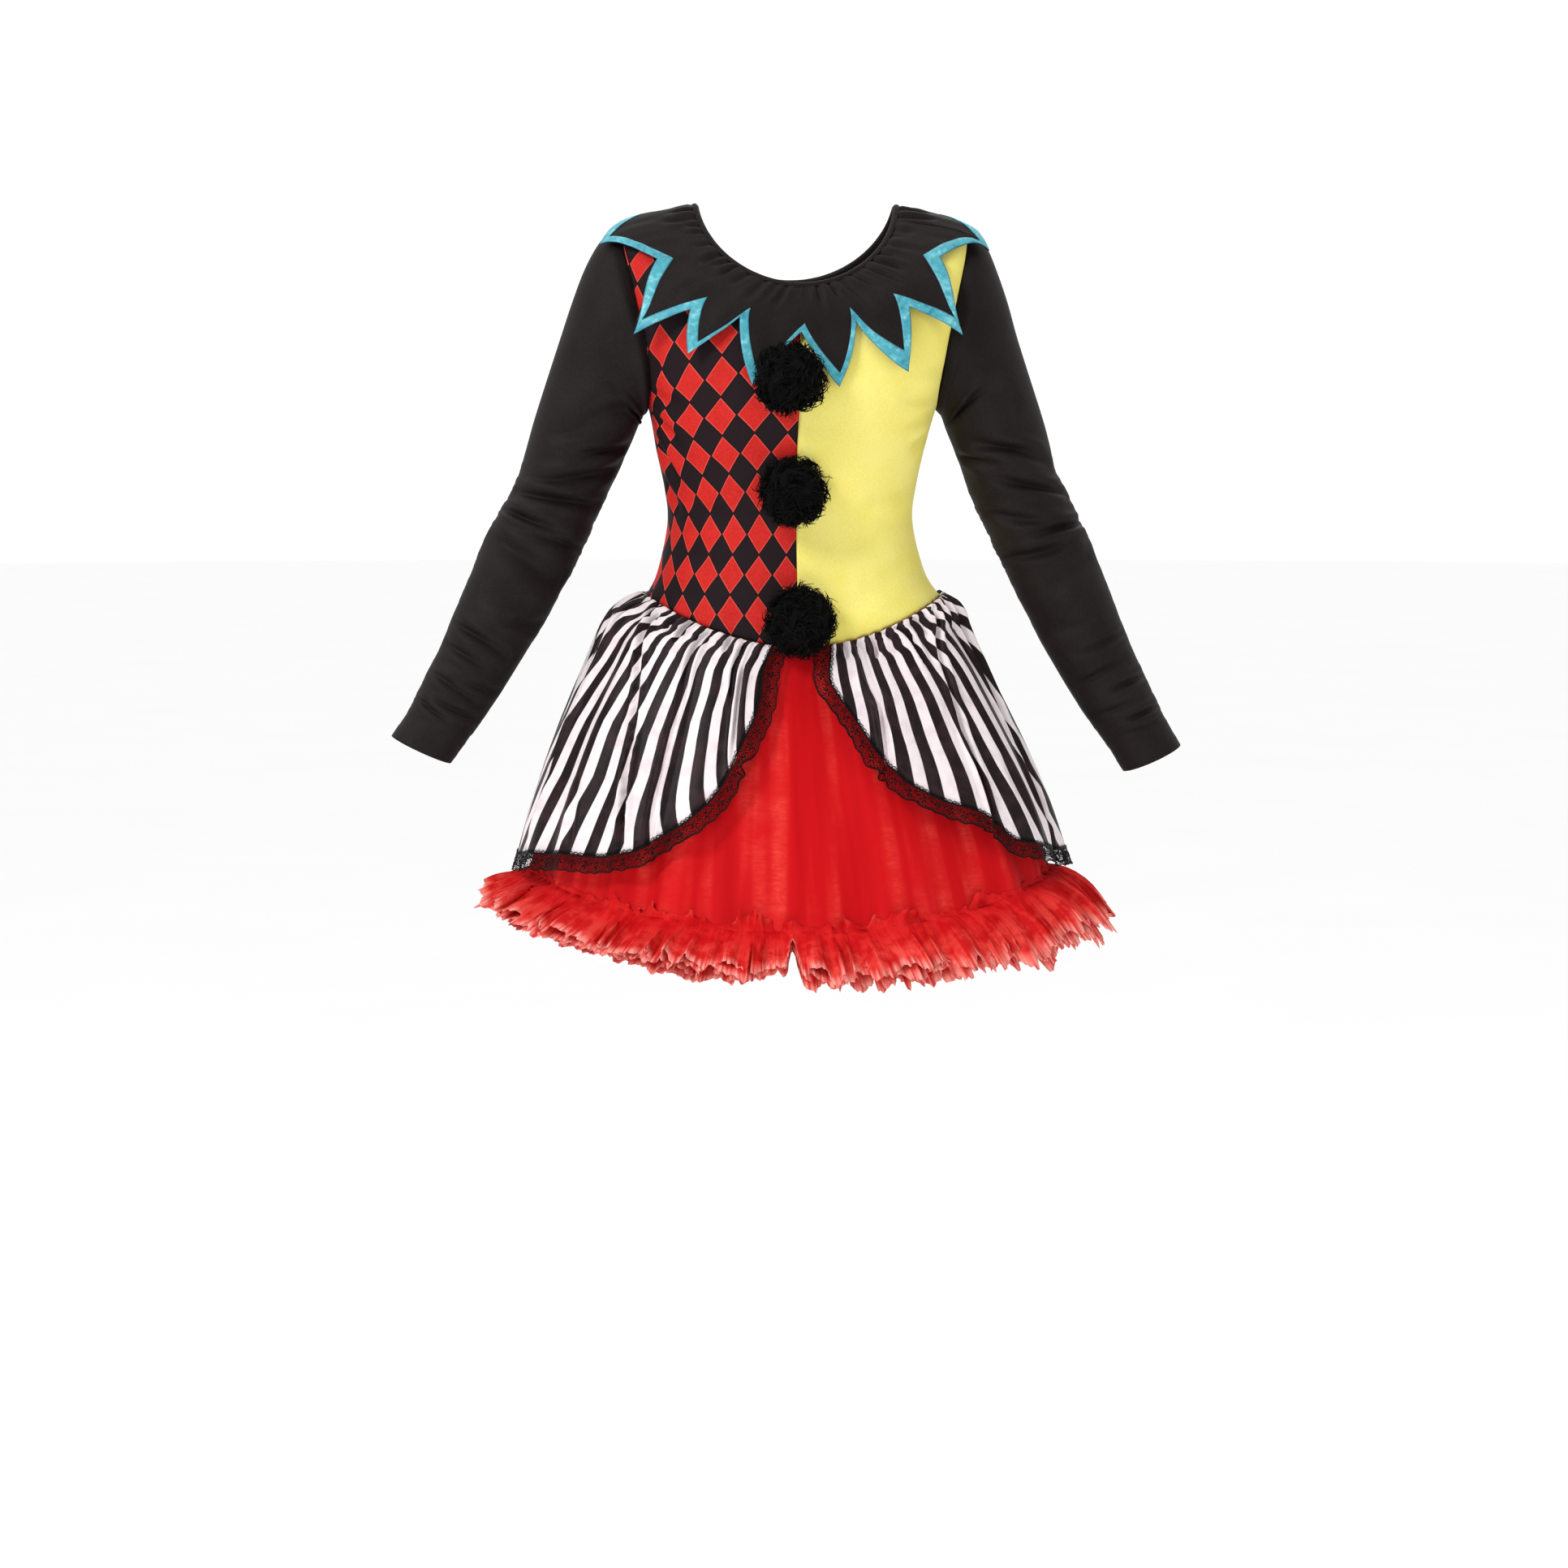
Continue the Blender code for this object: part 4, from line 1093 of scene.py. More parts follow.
LEFT_SLEEVE_CREASES = (
    (152, 4.2, 70, 5.4, 2.2, 7), (140, 5.7, 40, 7.6, 3, 6.5), (168, 6.2, 100, 7.5, 2, 6),
    (128, 7.5, 25, 9, 2.8, 5.5), (150, 8.9, 60, 9.9, 2.4, 5.5), (110, 9.9, 6, 10.3, 3.2, 4.5),
    (160, 10.4, 60, 10.8, 2.2, 5), (120, 11.3, 30, 11.2, 1.8, 4.8), (150, 12, 70, 12.1, 1.4, 4.5),
    (120, 13, 20, 13.1, 1.8, 4), (150, 13.8, 50, 13.8, 1.8, 3.8), (110, 14.4, 10, 14.6, 2.2, 3.4),
    (150, 14.9, 60, 15.1, 1.6, 3.4), (105, 15.5, 10, 15.7, 2, 3.2), (140, 15.9, 60, 16, 1.2, 3),
    (200, 5, 285, 6.2, 2, 7), (212, 7.2, 312, 7.8, 2.2, 6), (205, 8.7, 318, 9.2, 2.4, 5.5),
    (218, 10.1, 335, 10.4, 2.6, 5), (222, 11.6, 322, 11.5, 1.8, 5), (232, 13.1, 338, 13.2, 1.8, 4),
    (216, 14.6, 332, 14.4, 1.6, 3.6), (238, 15.5, 342, 15.6, 1.4, 3.2),
)


@dataclass
class Sleeve:
    """A sleeve, from the armhole's own outline to an open cuff with a stitched hem."""

    name: str
    side: Side
    table: tuple
    creases: tuple
    columns: int = 68
    sections: int = 204
    wall: float = 0.9
    gap_rows: float = 0.012
    gap_angle: float = math.radians(0.2)
    hem: float = 16.0
    seam_turn: float = 157.0  # degrees: the long seam, just inside the arm's inner edge
    crease_strength: float = 2.7
    section_length: float = 32.0  # millimetres from one section to the next

    def base(self, turns: Array, at: Array) -> Array:
        """The smooth sleeve.

        point = middle + reach * cos(turn) + depth * sin(turn) + share * bend(turn), where bend
        is what the armhole's own line differs from such an oval.

        Args:
            turns: round the arm.
            at: fractional sections from the armhole.
        Returns:
            Points in millimetres.
        """
        sign = np.array([self.side.value, 1, 1])
        edge = self.hole(turns) * sign
        top, foot, front, back = self.hole(np.array([0, 1, 0.5, -0.5]) * math.pi) * sign
        middle, reach, depth = (top + foot) / 2, (top - foot) / 2, (front - back)[1] / 2
        cosine, sine = np.cos(turns)[..., None], np.sin(turns)[..., None]
        bend = edge - (middle + reach * cosine + np.array([0, depth, 0]) * sine)
        first = (top[0], top[2], foot[0], foot[2], -depth, -middle[1], 1.0)
        outer_x, outer_z, inner_x, inner_z, half, forward, share = np.moveaxis(
            smooth_rows((first, *self.table), at), -1, 0
        )
        outer = np.stack([outer_x, -forward, outer_z], -1)
        inner = np.stack([inner_x, -forward, inner_z], -1)
        thick = np.stack([0 * half, -half, 0 * half], -1)
        oval = (outer + inner) / 2 + (outer - inner) / 2 * cosine + thick * sine
        return (oval + bend * share[..., None]) * sign

    def hole(self, turns: Array) -> Array:
        """Points on the armhole's edge of the sleeve."""
        angles, rows = armhole(turns, self.gap_rows, self.gap_angle)
        return BODY.point(self.side.value * angles, rows)

    def build(self) -> None:
        """The sleeve with its creases, its long seam, its cuff hem and two rows of stitches."""
        turns = np.arange(self.columns) * TURN / self.columns
        at = np.linspace(0, len(self.table), self.sections)
        turn, at = np.meshgrid(turns, at)
        base = self.base(turn, at)
        around = np.roll(base, -1, axis=1) - np.roll(base, 1, axis=1)
        normal = unit(np.cross(around, np.gradient(base, axis=0))) * self.side.value
        middle = base.mean(axis=1, keepdims=True)
        normal *= np.sign(np.sum(normal * (base - middle), axis=-1).mean())
        down = arcs(base, 0)
        to_cuff = down[-1:] - down
        degree = np.linalg.norm(around, axis=-1) / 2 * self.columns / 360
        slack = ease((at - 1.2) / 2) * ease((len(self.table) - 0.35 - at) / 0.8)
        fall = creases_fall(self.creases, np.degrees(turn), at, degree, self.section_length)
        fall = fall * slack * self.crease_strength
        fine = wander(at * 5.5 + 1.1 * np.sin(turn + self.side.value), 3.0)
        fine = fine * (0.5 + 0.5 * np.sin(turn * 2 + at * 0.8))
        fall += 1.1 * fine * slack * ease((at - 5) / 5)
        fall += ease((at - 0.2) / 1) * self.seam((np.degrees(turn) - self.seam_turn) * degree)
        fall -= 0.45 * ease((self.hem - to_cuff) / 1.2)  # the hem is double
        fall += 0.35 * np.exp(-(((to_cuff - self.hem + 2) / 1.0) ** 2))
        fall += 0.9 * np.exp(-((down / 1.6) ** 2))  # the groove at the armhole
        points = base - normal * fall[..., None]
        closed = np.concatenate([points, points[:, :1]], axis=1)
        uv = np.stack([arcs(closed, 1), np.concatenate([down, down[:, :1]], axis=1)], -1)
        maker = Maker().grid(points, uv, closed=True, flip=self.side is Side.LEFT)
        piece = maker.finish(f"{self.name}_cloth", material(Finishes.BLACK_JERSEY), self.wall)
        stitching = self.stitches(points, normal, to_cuff)
        cut = Cut.of(points, maker.area, True)
        place(piece, self.name, "black_jersey", cut, "stretched", (), (stitching,))

    def seam(self, across: Array) -> Array:
        """How far the cloth falls in beside the long seam: a groove, and a ridge at one side."""
        groove = 0.75 * np.exp(-((across / 1.1) ** 2))
        return groove - 0.25 * np.exp(-(((across - 3.2) / 1.6) ** 2))

    def stitches(self, points: Array, normal: Array, to_cuff: Array) -> Object:
        """Two rows of short stitches round the cuff.

        Args:
            points, normal: the sleeve's surface.
            to_cuff: millimetres from each point to the cuff's edge.
        Returns:
            The stitches, as one piece.
        """
        maker = Maker()
        for height in (self.hem - 2.2, self.hem - 5.2):
            line = follow_height(points, to_cuff, height)
            out = follow_height(normal, to_cuff, height)
            maker.cords(*dashes(line, out, 3.4, 2.3, 0.25), half=0.22, flat=0.8)
        piece = maker.finish(f"{self.name}_hem_stitches", material(Finishes.BLACK_JERSEY))
        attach(piece, "root")
        return piece


def follow_height(grid: Array, heights: Array, height: float) -> Array:
    """The line across a grid where a measure that falls down each column is a given height.

    Each column's value lies between the two rows whose measures bracket the height.

    Args:
        grid: points or directions.
        heights: the measure at each of them.
        height: that is looked for.
    Returns:
        One value for each column.
    """
    below = np.argmax(heights[::-1] > height, axis=0)
    row = np.clip(len(grid) - 1 - below, 0, len(grid) - 2)
    columns = np.arange(grid.shape[1])
    first, second = heights[row, columns], heights[row + 1, columns]
    share = np.clip((height - first) / np.where(second == first, 1, second - first), 0, 1)[:, None]
    return grid[row, columns] * (1 - share) + grid[row + 1, columns] * share


def dashes(
    line: Array, out: Array, pitch: float, length: float, lift: float
) -> tuple[Array, Array]:
    """Stitches along a closed line: three points each, the middle one lifted.

    Args:
        line, out: points and outward directions along the seam.
        pitch: from one stitch to the next.
        length: of a stitch.
        lift: how far the thread stands on the cloth.
    Returns:
        Paths and outward directions, for cords.
    """
    line, out = np.concatenate([line, line[:1]]), np.concatenate([out, out[:1]])
    gone = arcs(line, 0)
    starts = np.arange(0.5 * pitch, gone[-1] - length, pitch)
    at = starts[:, None] + np.array([0.0, 0.5, 1.0]) * length
    spots = np.stack([np.interp(at, gone, line[:, k]) for k in range(3)], -1)
    away = unit(np.stack([np.interp(at, gone, out[:, k]) for k in range(3)], -1))
    return spots + away * (lift * np.array([0.3, 1.0, 0.3]))[None, :, None], away


# ---- collar ----
COLLAR = Rings(
    (
        (109, -0.8, -86.0, -89.4, 84.0, -79.4, 1.00, 1.05, 2),
        (150, -10.2, -95.4, -105, 94.4, -101, 0.94, 1.25, 1),
        (193, -22, -106, -125, 103, -126, 0.88, 1.45, 0),
        (217, -39, -115, -149, 108.5, -152, 0.86, 1.65, 0),
        (234, -66, -124.5, -178, 110.5, -180, 0.86, 1.75, 0),
        (246, -100, -127, -214, 109, -214, 0.90, 1.9, 0),
        (254, -136, -129, -250, 110, -250, 0.90, 2, 0),
    )
)
# Corners of the collar's outline, valley and tip in turn, from centre front by the wearer's
# left: the angle of each, how far it reaches from the neckline, how many degrees the middle of
# the flank that follows it bends sideways, and how wide the ribbon shows on that flank. It is
# narrow where the ribbon has rolled to the inside.
COLLAR_CORNERS = (
    (0, 60.5, -0.8, 7.5), (7.6, 125, 0, 5.5), (13.6, 60.3, -1.7, 9.5), (25.6, 139.3, -0.9, 11),
    (30.6, 76.7, 0, 9), (44.2, 145, -4.3, 12), (54.8, 66.7, 4.8, 9.5), (73, 113, 0, 9),
    (90, 66, 0, 9.5), (106, 114, 0, 10), (121, 62, 0, 9.5), (136, 118, 0, 9), (151, 60, 0, 10),
    (166, 120, 0, 9.5), (180, 58, 0, 9.5), (194, 118, 0, 9), (209, 61, 0, 10), (224, 116, 0, 9.5),
    (239, 60, 0, 9), (254, 115, 0, 10), (268, 64, 0, 9.5), (283, 116, -1.9, 8.5),
    (306.8, 70, 3.8, 12), (315, 150.7, 0, 7.5), (329.8, 83.3, 0, 13.5), (332.6, 127.7, 0.5, 2.2),
    (344.4, 60.7, 0, 11), (349.6, 129.3, 0, 3.2),
)


@dataclass
class Collar:
    """The star collar, the ribbon along its edge and the binding of the neckline."""

    per_flank: int = 24
    rows: int = 20
    gathers: int = 52
    binding_width: float = 5.0
    binding_columns: int = 300
    wall: float = 0.8
    ribbon_lift: float = 1.0  # above the collar
    ribbon_past: float = 0.6  # beyond the collar's edge
    table_turns: int = 720
    longest: int = 160  # millimetres from the neckline to the end of the table

    def __post_init__(self) -> None:
        """Tables that turn reach, the length from the neckline along the cloth, into rows."""
        turns = np.linspace(0, TURN, self.table_turns + 1)[:, None]
        fine = np.linspace(0, len(COLLAR.table) - 1, 121)
        reaches = np.arange(self.longest + 1.0)
        gone = arcs(COLLAR.point(turns, fine[None]), 1)
        self.rows_at = np.stack([np.interp(reaches, line, fine) for line in gone])

    def row(self, angle: Array, reach: Array) -> Array:
        """Fractional row for a reach, read between the table's columns and rows.

        Args:
            angle: round the neck.
            reach: millimetres from the neckline along the cloth.
        Returns:
            Rows of the collar's rings.
        """
        x = np.mod(angle, TURN) / TURN * self.table_turns
        y = np.clip(reach, 0, self.longest - 0.01)
        i, j = np.clip(x.astype(int), 0, self.table_turns - 1), y.astype(int)
        a, b = x - i, y - j
        low = self.rows_at[i, j] * (1 - b) + self.rows_at[i, j + 1] * b
        high = self.rows_at[i + 1, j] * (1 - b) + self.rows_at[i + 1, j + 1] * b
        return low * (1 - a) + high * a

    def gather_creases(self) -> tuple:
        """Grooves below the neckline, 12 to 18 mm apart and 15 to 45 mm long, a little askew.

        Returns:
            Rows as in a table of creases.
        """
        number = np.arange(self.gathers)
        start = (number + 0.7 * (scatter(number, 1.0) - 0.5)) * 360 / self.gathers
        lean = (scatter(number, 2.0) - 0.5) * 5
        end = 20 + 40 * scatter(number, 3.0) ** 1.5
        depth = 1.7 + 1.9 * scatter(number, 4.0)
        width = 2.0 + 1.6 * scatter(number, 5.0)
        return tuple(zip(start, 0 * start + 1.5, start + lean, end, depth, width))

    def relief(self, angle: Array, reach: Array) -> Array:
        """How far the cloth stands off its rings: grooved below the neckline and soft beyond.

        Args:
            angle, reach: places on the collar.
        Returns:
            Millimetres outwards.
        """
        degrees = np.degrees(np.mod(angle, TURN))
        size = 1.75 + 0.9 * np.clip(reach / 80, 0, 1)
        grooves = creases_fall(self.gather_creases(), degrees, reach, size, 1.0)
        soft = 1.1 * (1 + wander(angle * 7, 5.0))
        soft = soft * ease((reach - 26) / 40) * ease((118 - reach) / 30)
        return 2.4 * ease((reach - 2) / 8) * ease((90 - reach) / 50) - grooves + soft

    def point(self, angle: Array, reach: Array, lift: Array | float = 0.0) -> Array:
        """The collar's outer surface at an angle and a reach, raised by lift."""
        rows = self.row(angle, reach)
        stand = self.relief(angle, reach) + lift
        return COLLAR.point(angle, rows) + COLLAR.normal(angle, rows) * stand[..., None]

    def outline(self) -> tuple[Array, Array, Array, Array]:
        """Angle and reach along the outer edge and along the ribbon's inner edge, once round.

        The ribbon's inner edge is the outline moved inward by its width, mitred at the corners:
        each inner corner is where the moved lines of its two flanks cross.

        Returns:
            Four arrays of equal length: outer angle and reach, inner angle and reach.
        """
        corners = np.array(COLLAR_CORNERS, float)
        angle, reach = np.radians(corners[:, 0]), corners[:, 1]
        next_angle, next_reach = np.roll(angle, -1), np.roll(reach, -1)
        next_angle[-1] += TURN
        middle = (angle + next_angle) / 2
        rows = self.row(middle, (reach + next_reach) / 2)
        size = COLLAR.size_across(middle, rows)
        run = np.stack([(next_angle - angle) * size, next_reach - reach], -1)
        inward = unit(np.stack([run[:, 1], -run[:, 0]], -1)) * corners[:, 3:4]
        inward[:, 0] /= size
        shift = np.stack([angle, reach], -1) + inward  # a point on each moved line
        direction = np.stack([next_angle - angle, next_reach - reach], -1)
        before, way = np.roll(shift, 1, axis=0), np.roll(direction, 1, axis=0)
        before[0, 0] -= TURN
        cross = way[:, 0] * direction[:, 1] - way[:, 1] * direction[:, 0]
        gap = shift - before
        t = (gap[:, 0] * direction[:, 1] - gap[:, 1] * direction[:, 0]) / cross
        inner = before + way * t[:, None]
        after = np.roll(inner, -1, axis=0)
        after[-1, 0] += TURN
        share = (np.arange(self.per_flank) / self.per_flank)[None, :]
        bend = np.radians(corners[:, 2:3]) * 4 * share * (1 - share)
        outer_angle = angle[:, None] + (next_angle - angle)[:, None] * share + bend
        outer_reach = reach[:, None] + (next_reach - reach)[:, None] * share
        inner_angle = inner[:, :1] + (after[:, :1] - inner[:, :1]) * share + bend
        inner_reach = inner[:, 1:] + (after[:, 1:] - inner[:, 1:]) * share
        return tuple(x.ravel() for x in (outer_angle, outer_reach, inner_angle, inner_reach))

    def build(self) -> None:
        """The collar, its ribbon with a row of stitches on both edges, and the binding."""
        outer_angle, outer_reach, inner_angle, inner_reach = self.outline()
        share = np.linspace(0, 1, self.rows)[:, None] ** 0.9
        reach = outer_reach * share
        points = self.point(np.broadcast_to(outer_angle, reach.shape), reach)
        wide = np.concatenate([outer_angle, outer_angle[:1] + TURN])[None] * 160
        uv = np.stack(np.broadcast_arrays(wide, np.concatenate([reach, reach[:, :1]], 1)), -1)
        maker = Maker().grid(points, uv, closed=True)
        cloth = maker.finish("collar_cloth", material(Finishes.BLACK_JERSEY), self.wall)
        place(cloth, "collar", "black_jersey", Cut.of(points, maker.area, True), "gathered")
        across = np.linspace(0, 1, 6)[:, None]
        angle = inner_angle + (outer_angle - inner_angle) * across
        reach = inner_reach + (outer_reach + self.ribbon_past - inner_reach) * across
        crown = 0.35 * np.sin(math.pi * across)
        roll = 0.25 * wander(np.arange(len(outer_angle)) * 0.9, 4.0) * (across - 0.5)
        ribbon = self.point(angle, reach, self.ribbon_lift + (crown + roll))
        gone = np.arange(len(outer_angle) + 1) * 8.0 / 30
        uv = np.stack(np.broadcast_arrays(gone[None], across), -1)
        maker = Maker().grid(ribbon, uv, closed=True)
        edging = maker.finish("collar_ribbon_cloth", material(Finishes.BLUE_RIBBON), 0.45)
        cut, stitching = Cut.of(ribbon, maker.area, True), self.stitches(ribbon)
        place(edging, "collar_ribbon", "blue_ribbon", cut, "laid", (cloth.name,), (stitching,))
        self.binding(cloth)

    def stitches(self, ribbon: Array) -> Object:
        """A row of stitches a millimetre inside each edge of the ribbon.

        Args:
            ribbon: its grid of points.
        Returns:
            The stitches, as one piece.
        """
        maker = Maker()
        along = np.roll(ribbon, -1, axis=1) - np.roll(ribbon, 1, axis=1)
        out = unit(np.cross(np.gradient(ribbon, axis=0), along))
        for first, second in ((0, 1), (-1, -2)):
            line = ribbon[first] * 0.45 + ribbon[second] * 0.55
            maker.cords(*dashes(line, out[second], 4.1, 2.7, 0.2), half=0.2, flat=0.8)
        piece = maker.finish("collar_ribbon_stitches", material(Finishes.BLUE_RIBBON))
        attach(piece, "root")
        return piece

    def binding(self, cloth: Object) -> None:
        """A narrow band folded over the neckline: a profile of reach and lift carried round it.

        It climbs inside the neck, turns over the edge and lies outside as a low rounded roll.
        Above the edge, where reach is below 0, it follows the line on which the collar starts.

        Args:
            cloth: the collar, which it lies on.
        """
        angles = np.arange(self.binding_columns) * TURN / self.binding_columns
        turn = np.linspace(0, math.pi, 9)
        roll_reach = self.binding_width * (0.5 - 0.5 * np.cos(turn)) + 0.2
        roll = np.stack([roll_reach, 1.7 * np.sin(turn) ** 0.7 + 1.1])
        inside_reach = (self.binding_width + 1.3, 3.4, 0.8, -0.8, -1.1, -0.6)
        inside = np.array([inside_reach, (-4.3, -4.4, -4.3, -3.0, -1.0, 0.5)])
        reach, lift = np.concatenate([inside, roll], axis=1)[..., None]
        angle, far = np.broadcast_arrays(angles, reach)
        rows = self.row(angle, far)
        edge = COLLAR.point(angle, self.row(angle, 0 * far))
        fall = unit(COLLAR.point(angle, self.row(angle, 0 * far + 2)) - edge)
        lift = lift + 0.15 * wander(angles * 30, 1.0)
        points = COLLAR.point(angle, rows) + COLLAR.normal(angle, rows) * lift[..., None]
        points = points + fall * np.minimum(far, 0)[..., None]
        wide = np.linspace(0, TURN, self.binding_columns + 1) * 100
        uv = np.stack(np.broadcast_arrays(wide[None], reach), -1)
        maker = Maker().grid(points, uv, closed=True)
        piece = maker.finish("neck_binding_cloth", material(Finishes.BLACK_JERSEY), 0.6)
        cut = Cut.of(points, maker.area, True)
        place(piece, "neck_binding", "black_jersey", cut, "stretched", (cloth.name,))


# ---- peplum ----
PEPLUM = Rings(
    (
        (163, -431.7, -118, -480.7, 106, -428.7, 1, 2, -1),
        (181, -443, -126, -495, 124, -440, 1, 2, -6),
        (194, -466, -139, -519, 144, -462, 1, 2, -11),
        (217, -512, -162, -565, 168, -507, 1, 2, -9),
        (252, -585, -194, -637, 197, -578, 1, 2, -7),
        (279, -655, -223, -706, 223, -648, 1, 2, -4),
        (298, -719, -246, -768, 243, -711, 1, 2, -2.5),
    )
)
PEPLUM_LAST = len(PEPLUM.table) - 1
# The curved lower edge of each front: angles in degrees and rows.
PEPLUM_EDGE_LEFT = (
    (11.5, 2.1), (13.8, 2.52), (17.8, 3.05), (21.3, 3.5), (27, 3.99), (32.5, 4.24), (39.5, 4.5),
    (46, 4.75), (50, 5.0), (54, 5.3), (62.5, 5.57), (76, 5.85), (90, 6),
)
PEPLUM_EDGE_RIGHT = (
    (9.8, 2.39), (11.8, 2.91), (15.5, 3.44), (18.5, 3.85), (22, 4.19), (26.5, 4.51), (32.5, 4.8),
    (38.3, 5.14), (46, 5.37), (60.8, 5.6), (76, 5.85), (90, 6),
)
# Creases of the peplum: angle from centre front in degrees and row of both ends, depth, width.
PEPLUM_LEFT_CREASES = (
    (21, 0, 26, 3, 4.5, 3.6), (26, 2.6, 23.5, 3.7, 5.5, 2.6), (27.5, 0, 28.5, 1.6, 5, 2.4),
    (38, 0.1, 47, 2.4, 5.5, 2.6), (47, 0, 52, 1.4, 4, 2.8), (61, 0.4, 54, 2.5, 6, 3.2),
    (54, 2.3, 49.5, 3.7, 6.5, 3), (49.5, 3.5, 49, 4.9, 6, 2.8), (33, 0, 35, 0.9, 3, 2.6),
    (71, 0, 70, 1.8, 5, 3.2), (79, 0.6, 74, 4.2, 6.5, 3.6), (74, 4, 73, 5.8, 6, 3.6),
    (86, 0, 84, 3.4, 5, 3.6), (66, 0, 67, 0.8, 3.2, 2.6), (16, 0, 17.5, 1.2, 3, 2.4),
    (60, 4.2, 63, 5.5, 2.5, 5),
)
PEPLUM_RIGHT_CREASES = (
    (34.5, 0, 34, 3.2, 6, 2.8), (34, 3, 35.5, 5, 5.5, 2.8), (57, 0.6, 55.5, 2.1, 6, 2.8),
    (55.5, 1.9, 46.5, 3.6, 6.5, 2.8), (46.5, 3.4, 41.5, 5.2, 6.5, 2.8),
    (19.5, 0.2, 18.5, 2.6, 4.5, 2.6), (16, 1.6, 17, 3.6, 4.5, 2.4), (43.5, 0, 42.5, 1.4, 4.5, 2.4),
    (49.5, 0, 49, 1.1, 4.5, 2.6), (63, 0, 60, 1, 4.5, 2.6), (26, 0, 24.5, 1.1, 3.2, 2.6),
    (71, 0.2, 76, 2.8, 6, 3.4), (76, 2.6, 75, 4.6, 6, 3.4), (75, 4.4, 79, 5.8, 5, 3.6),
    (86, 0, 85, 3.6, 5, 3.6), (60, 4.4, 57, 5.5, 2.5, 5),
)
PEPLUM_BACK_CREASES = (
    (98, 0, 96, 4.4, 6, 3.4), (106, 0, 108, 2.2, 5, 2.8), (112, 1.8, 117, 5.6, 6, 3.4),
    (121, 0, 119, 1.5, 4.5, 2.6), (129, 0, 131, 3.8, 6, 3), (138, 0, 137, 1.2, 4.5, 2.6),
    (144, 0.8, 148, 5.4, 6.5, 3.4), (152, 0, 151, 1.6, 4.5, 2.6), (159, 0, 163, 3.2, 5.5, 2.8),
    (168, 0.2, 166, 5, 6, 3.2), (175, 0, 176, 1.4, 4.5, 2.6), (182, 0, 186, 4.2, 6, 3.2),
    (191, 0, 190, 1.3, 4.5, 2.6), (197, 0.5, 194, 3.4, 5.5, 2.8), (203, 0, 208, 5.6, 6.5, 3.4),
    (213, 0, 214, 1.5, 4.5, 2.6), (221, 0, 219, 3.6, 6, 3), (230, 0.2, 234, 5.2, 6, 3.4),
    (238, 0, 237, 1.4, 4.5, 2.6), (246, 0, 244, 3, 5.5, 2.8), (253, 0.6, 257, 5, 6, 3.2),
    (263, 0, 265, 3.8, 6, 3.4),
)


@dataclass(frozen=True)
class Stripes:
    """How the stripes of a panel lie: degrees outwards by row, first share, degrees for a pair."""

    lean: float
    start: float
    pitch: float


